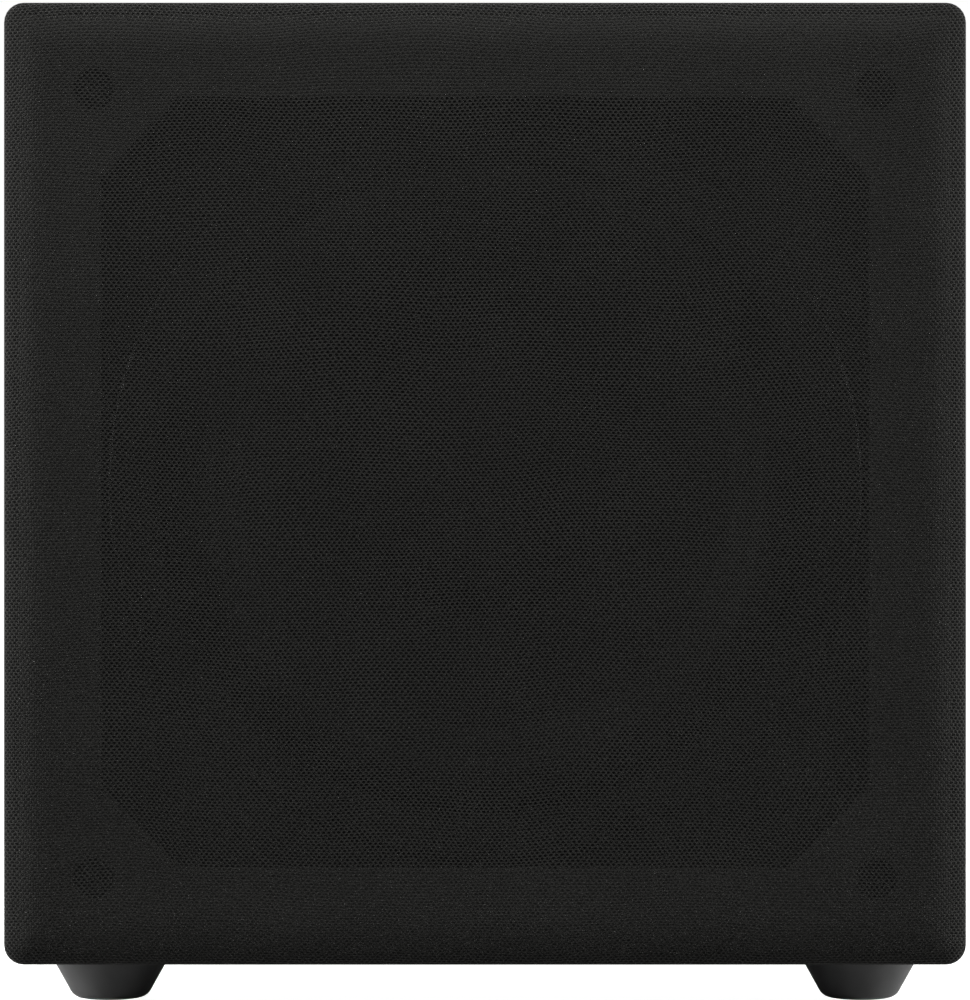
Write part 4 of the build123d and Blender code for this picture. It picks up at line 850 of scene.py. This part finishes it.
def switch_marks(finish):
    """Position numerals beside the two slide switches, and bars over and under the jacks."""
    travel, gap, numeral_size = 4 * MM, 6.5 * MM, 3.2 * MM
    for slider in ("phase_slider", "mode_slider"):
        rest = middle(slider)
        # A slider rests at its 0, and its 1 is its travel away towards -X.
        for words, out in (("0", gap), ("1", -gap - travel)):
            printed_text(f"{slider}_{words}", words, rest.x + out, rest.z, numeral_size, finish)
    low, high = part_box("rca_shells")
    bars = []
    for z in (low.z - 4 * MM, high.z + 4 * MM):
        bars.append((middle("rca_shells").x, z, 0.0, high.x - low.x + 10 * MM, 0.4 * MM))
    mark_bars("jack_lines", bars, PANEL_FACE_Y, finish, "cabinet")


# ---------------------------------------------------------------- studio
def white_world():
    """White to the eye, and a soft fill to the object."""
    world = bpy.data.worlds.new("studio")
    bpy.context.scene.world = world
    world.use_nodes = True
    tree = world.node_tree
    shade = tree.nodes["Background"]
    shade.inputs["Color"].default_value = (1, 1, 1, 1)
    seen = tree.nodes.new("ShaderNodeLightPath")
    fill = tree.nodes.new("ShaderNodeMapRange")
    fill.inputs["To Min"].default_value = 0.16
    fill.inputs["To Max"].default_value = 1.0
    tree.links.new(seen.outputs["Is Camera Ray"], fill.inputs["Value"])
    tree.links.new(fill.outputs["Result"], shade.inputs["Strength"])


def white_floor():
    """A plain pale floor that stays near white under the box."""
    bpy.ops.mesh.primitive_plane_add(size=30, location=(0, 0, -0.0005))
    floor = bpy.context.object
    floor.name = "floor"
    material = bpy.data.materials.new("floor")
    material.use_nodes = True
    tree = material.node_tree
    shader = tree.nodes["Principled BSDF"]
    shader.inputs["Base Color"].default_value = (0.4, 0.4, 0.4, 1)
    shader.inputs["Roughness"].default_value = 0.9
    shader.inputs["Emission Color"].default_value = (1, 1, 1, 1)
    seen = tree.nodes.new("ShaderNodeLightPath")
    tree.links.new(seen.outputs["Is Camera Ray"], shader.inputs["Emission Strength"])
    floor.data.materials.append(material)


def softbox(name, place, size, power, spread=180):
    """A rectangular lamp aimed at the middle of the box, unseen by the camera."""
    lamp = bpy.data.lights.new(name, "AREA")
    lamp.shape = "RECTANGLE"
    lamp.size, lamp.size_y = size
    lamp.energy = power
    lamp.spread = math.radians(spread)
    holder = add_object(name, lamp)
    holder.location = place
    aim = Vector((0, 0, AXIS_Z)) - Vector(place)
    holder.rotation_euler = aim.to_track_quat("-Z", "Y").to_euler()
    holder.visible_camera = False


def studio():
    """A lamp above the front, grazing ones over and beside the box, and weaker ones behind it."""
    softbox("front", (-0.1, -0.5, 0.85), (1.1, 0.4), 8.2)
    softbox("over", (0, -0.22, 1.5), (1.4, 0.6), 5)
    softbox("left", (-1.4, -0.19, 0.5), (0.5, 1.0), 8.2, 60)
    softbox("right", (1.4, -0.19, 0.5), (0.5, 1.0), 8, 60)
    softbox("rear_left", (1.6, 2.0, 1.1), (1.2, 1.2), 14)
    softbox("rear_right", (-1.6, 2.2, 0.9), (1.2, 1.2), 10)


def product_camera():
    """A long lens, level and square to the front, with the box low in the picture."""
    distance, picture_height = 1.5, 0.3419
    above_axis = -5.6 * MM
    lens = bpy.data.cameras.new("camera")
    lens.sensor_width = 36
    lens.lens = lens.sensor_width * distance / picture_height
    lens.clip_end = 100
    camera = add_object("camera", lens)
    camera.location = (0, FRONT_Y - distance, AXIS_Z + above_axis)
    camera.rotation_euler = (math.pi / 2, 0, 0)
    bpy.context.scene.camera = camera


# ---------------------------------------------------------------- everything together
def main():
    bpy.context.scene.view_settings.view_transform = "Standard"
    finishes = all_finishes()
    paint_nodes(finishes)
    print_ink = white_print()
    grille_cloth(finishes["grille_cloth"])
    hem_staples(finishes["zinc_steel"])
    surround(finishes["soft_rubber"])
    spider(finishes["spider_cloth"])
    braided_leads(lead_braid())
    pads = [damping_pad(side, finishes["wadding"]) for side in (-1, 1)]
    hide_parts("damping_pads")
    dial_marks("volume_knob", (("0", 0.0), ("5", 0.5), ("10", 1.0)), print_ink)
    dial_marks("crossover_knob", (("40", 0.0), ("100", 0.5), ("160", 1.0)), print_ink)
    knob_pointer("volume_knob", "volume", print_ink)
    knob_pointer("crossover_knob", "crossover", print_ink)
    switch_marks(print_ink)
    white_world()
    white_floor()
    studio()
    product_camera()


main()
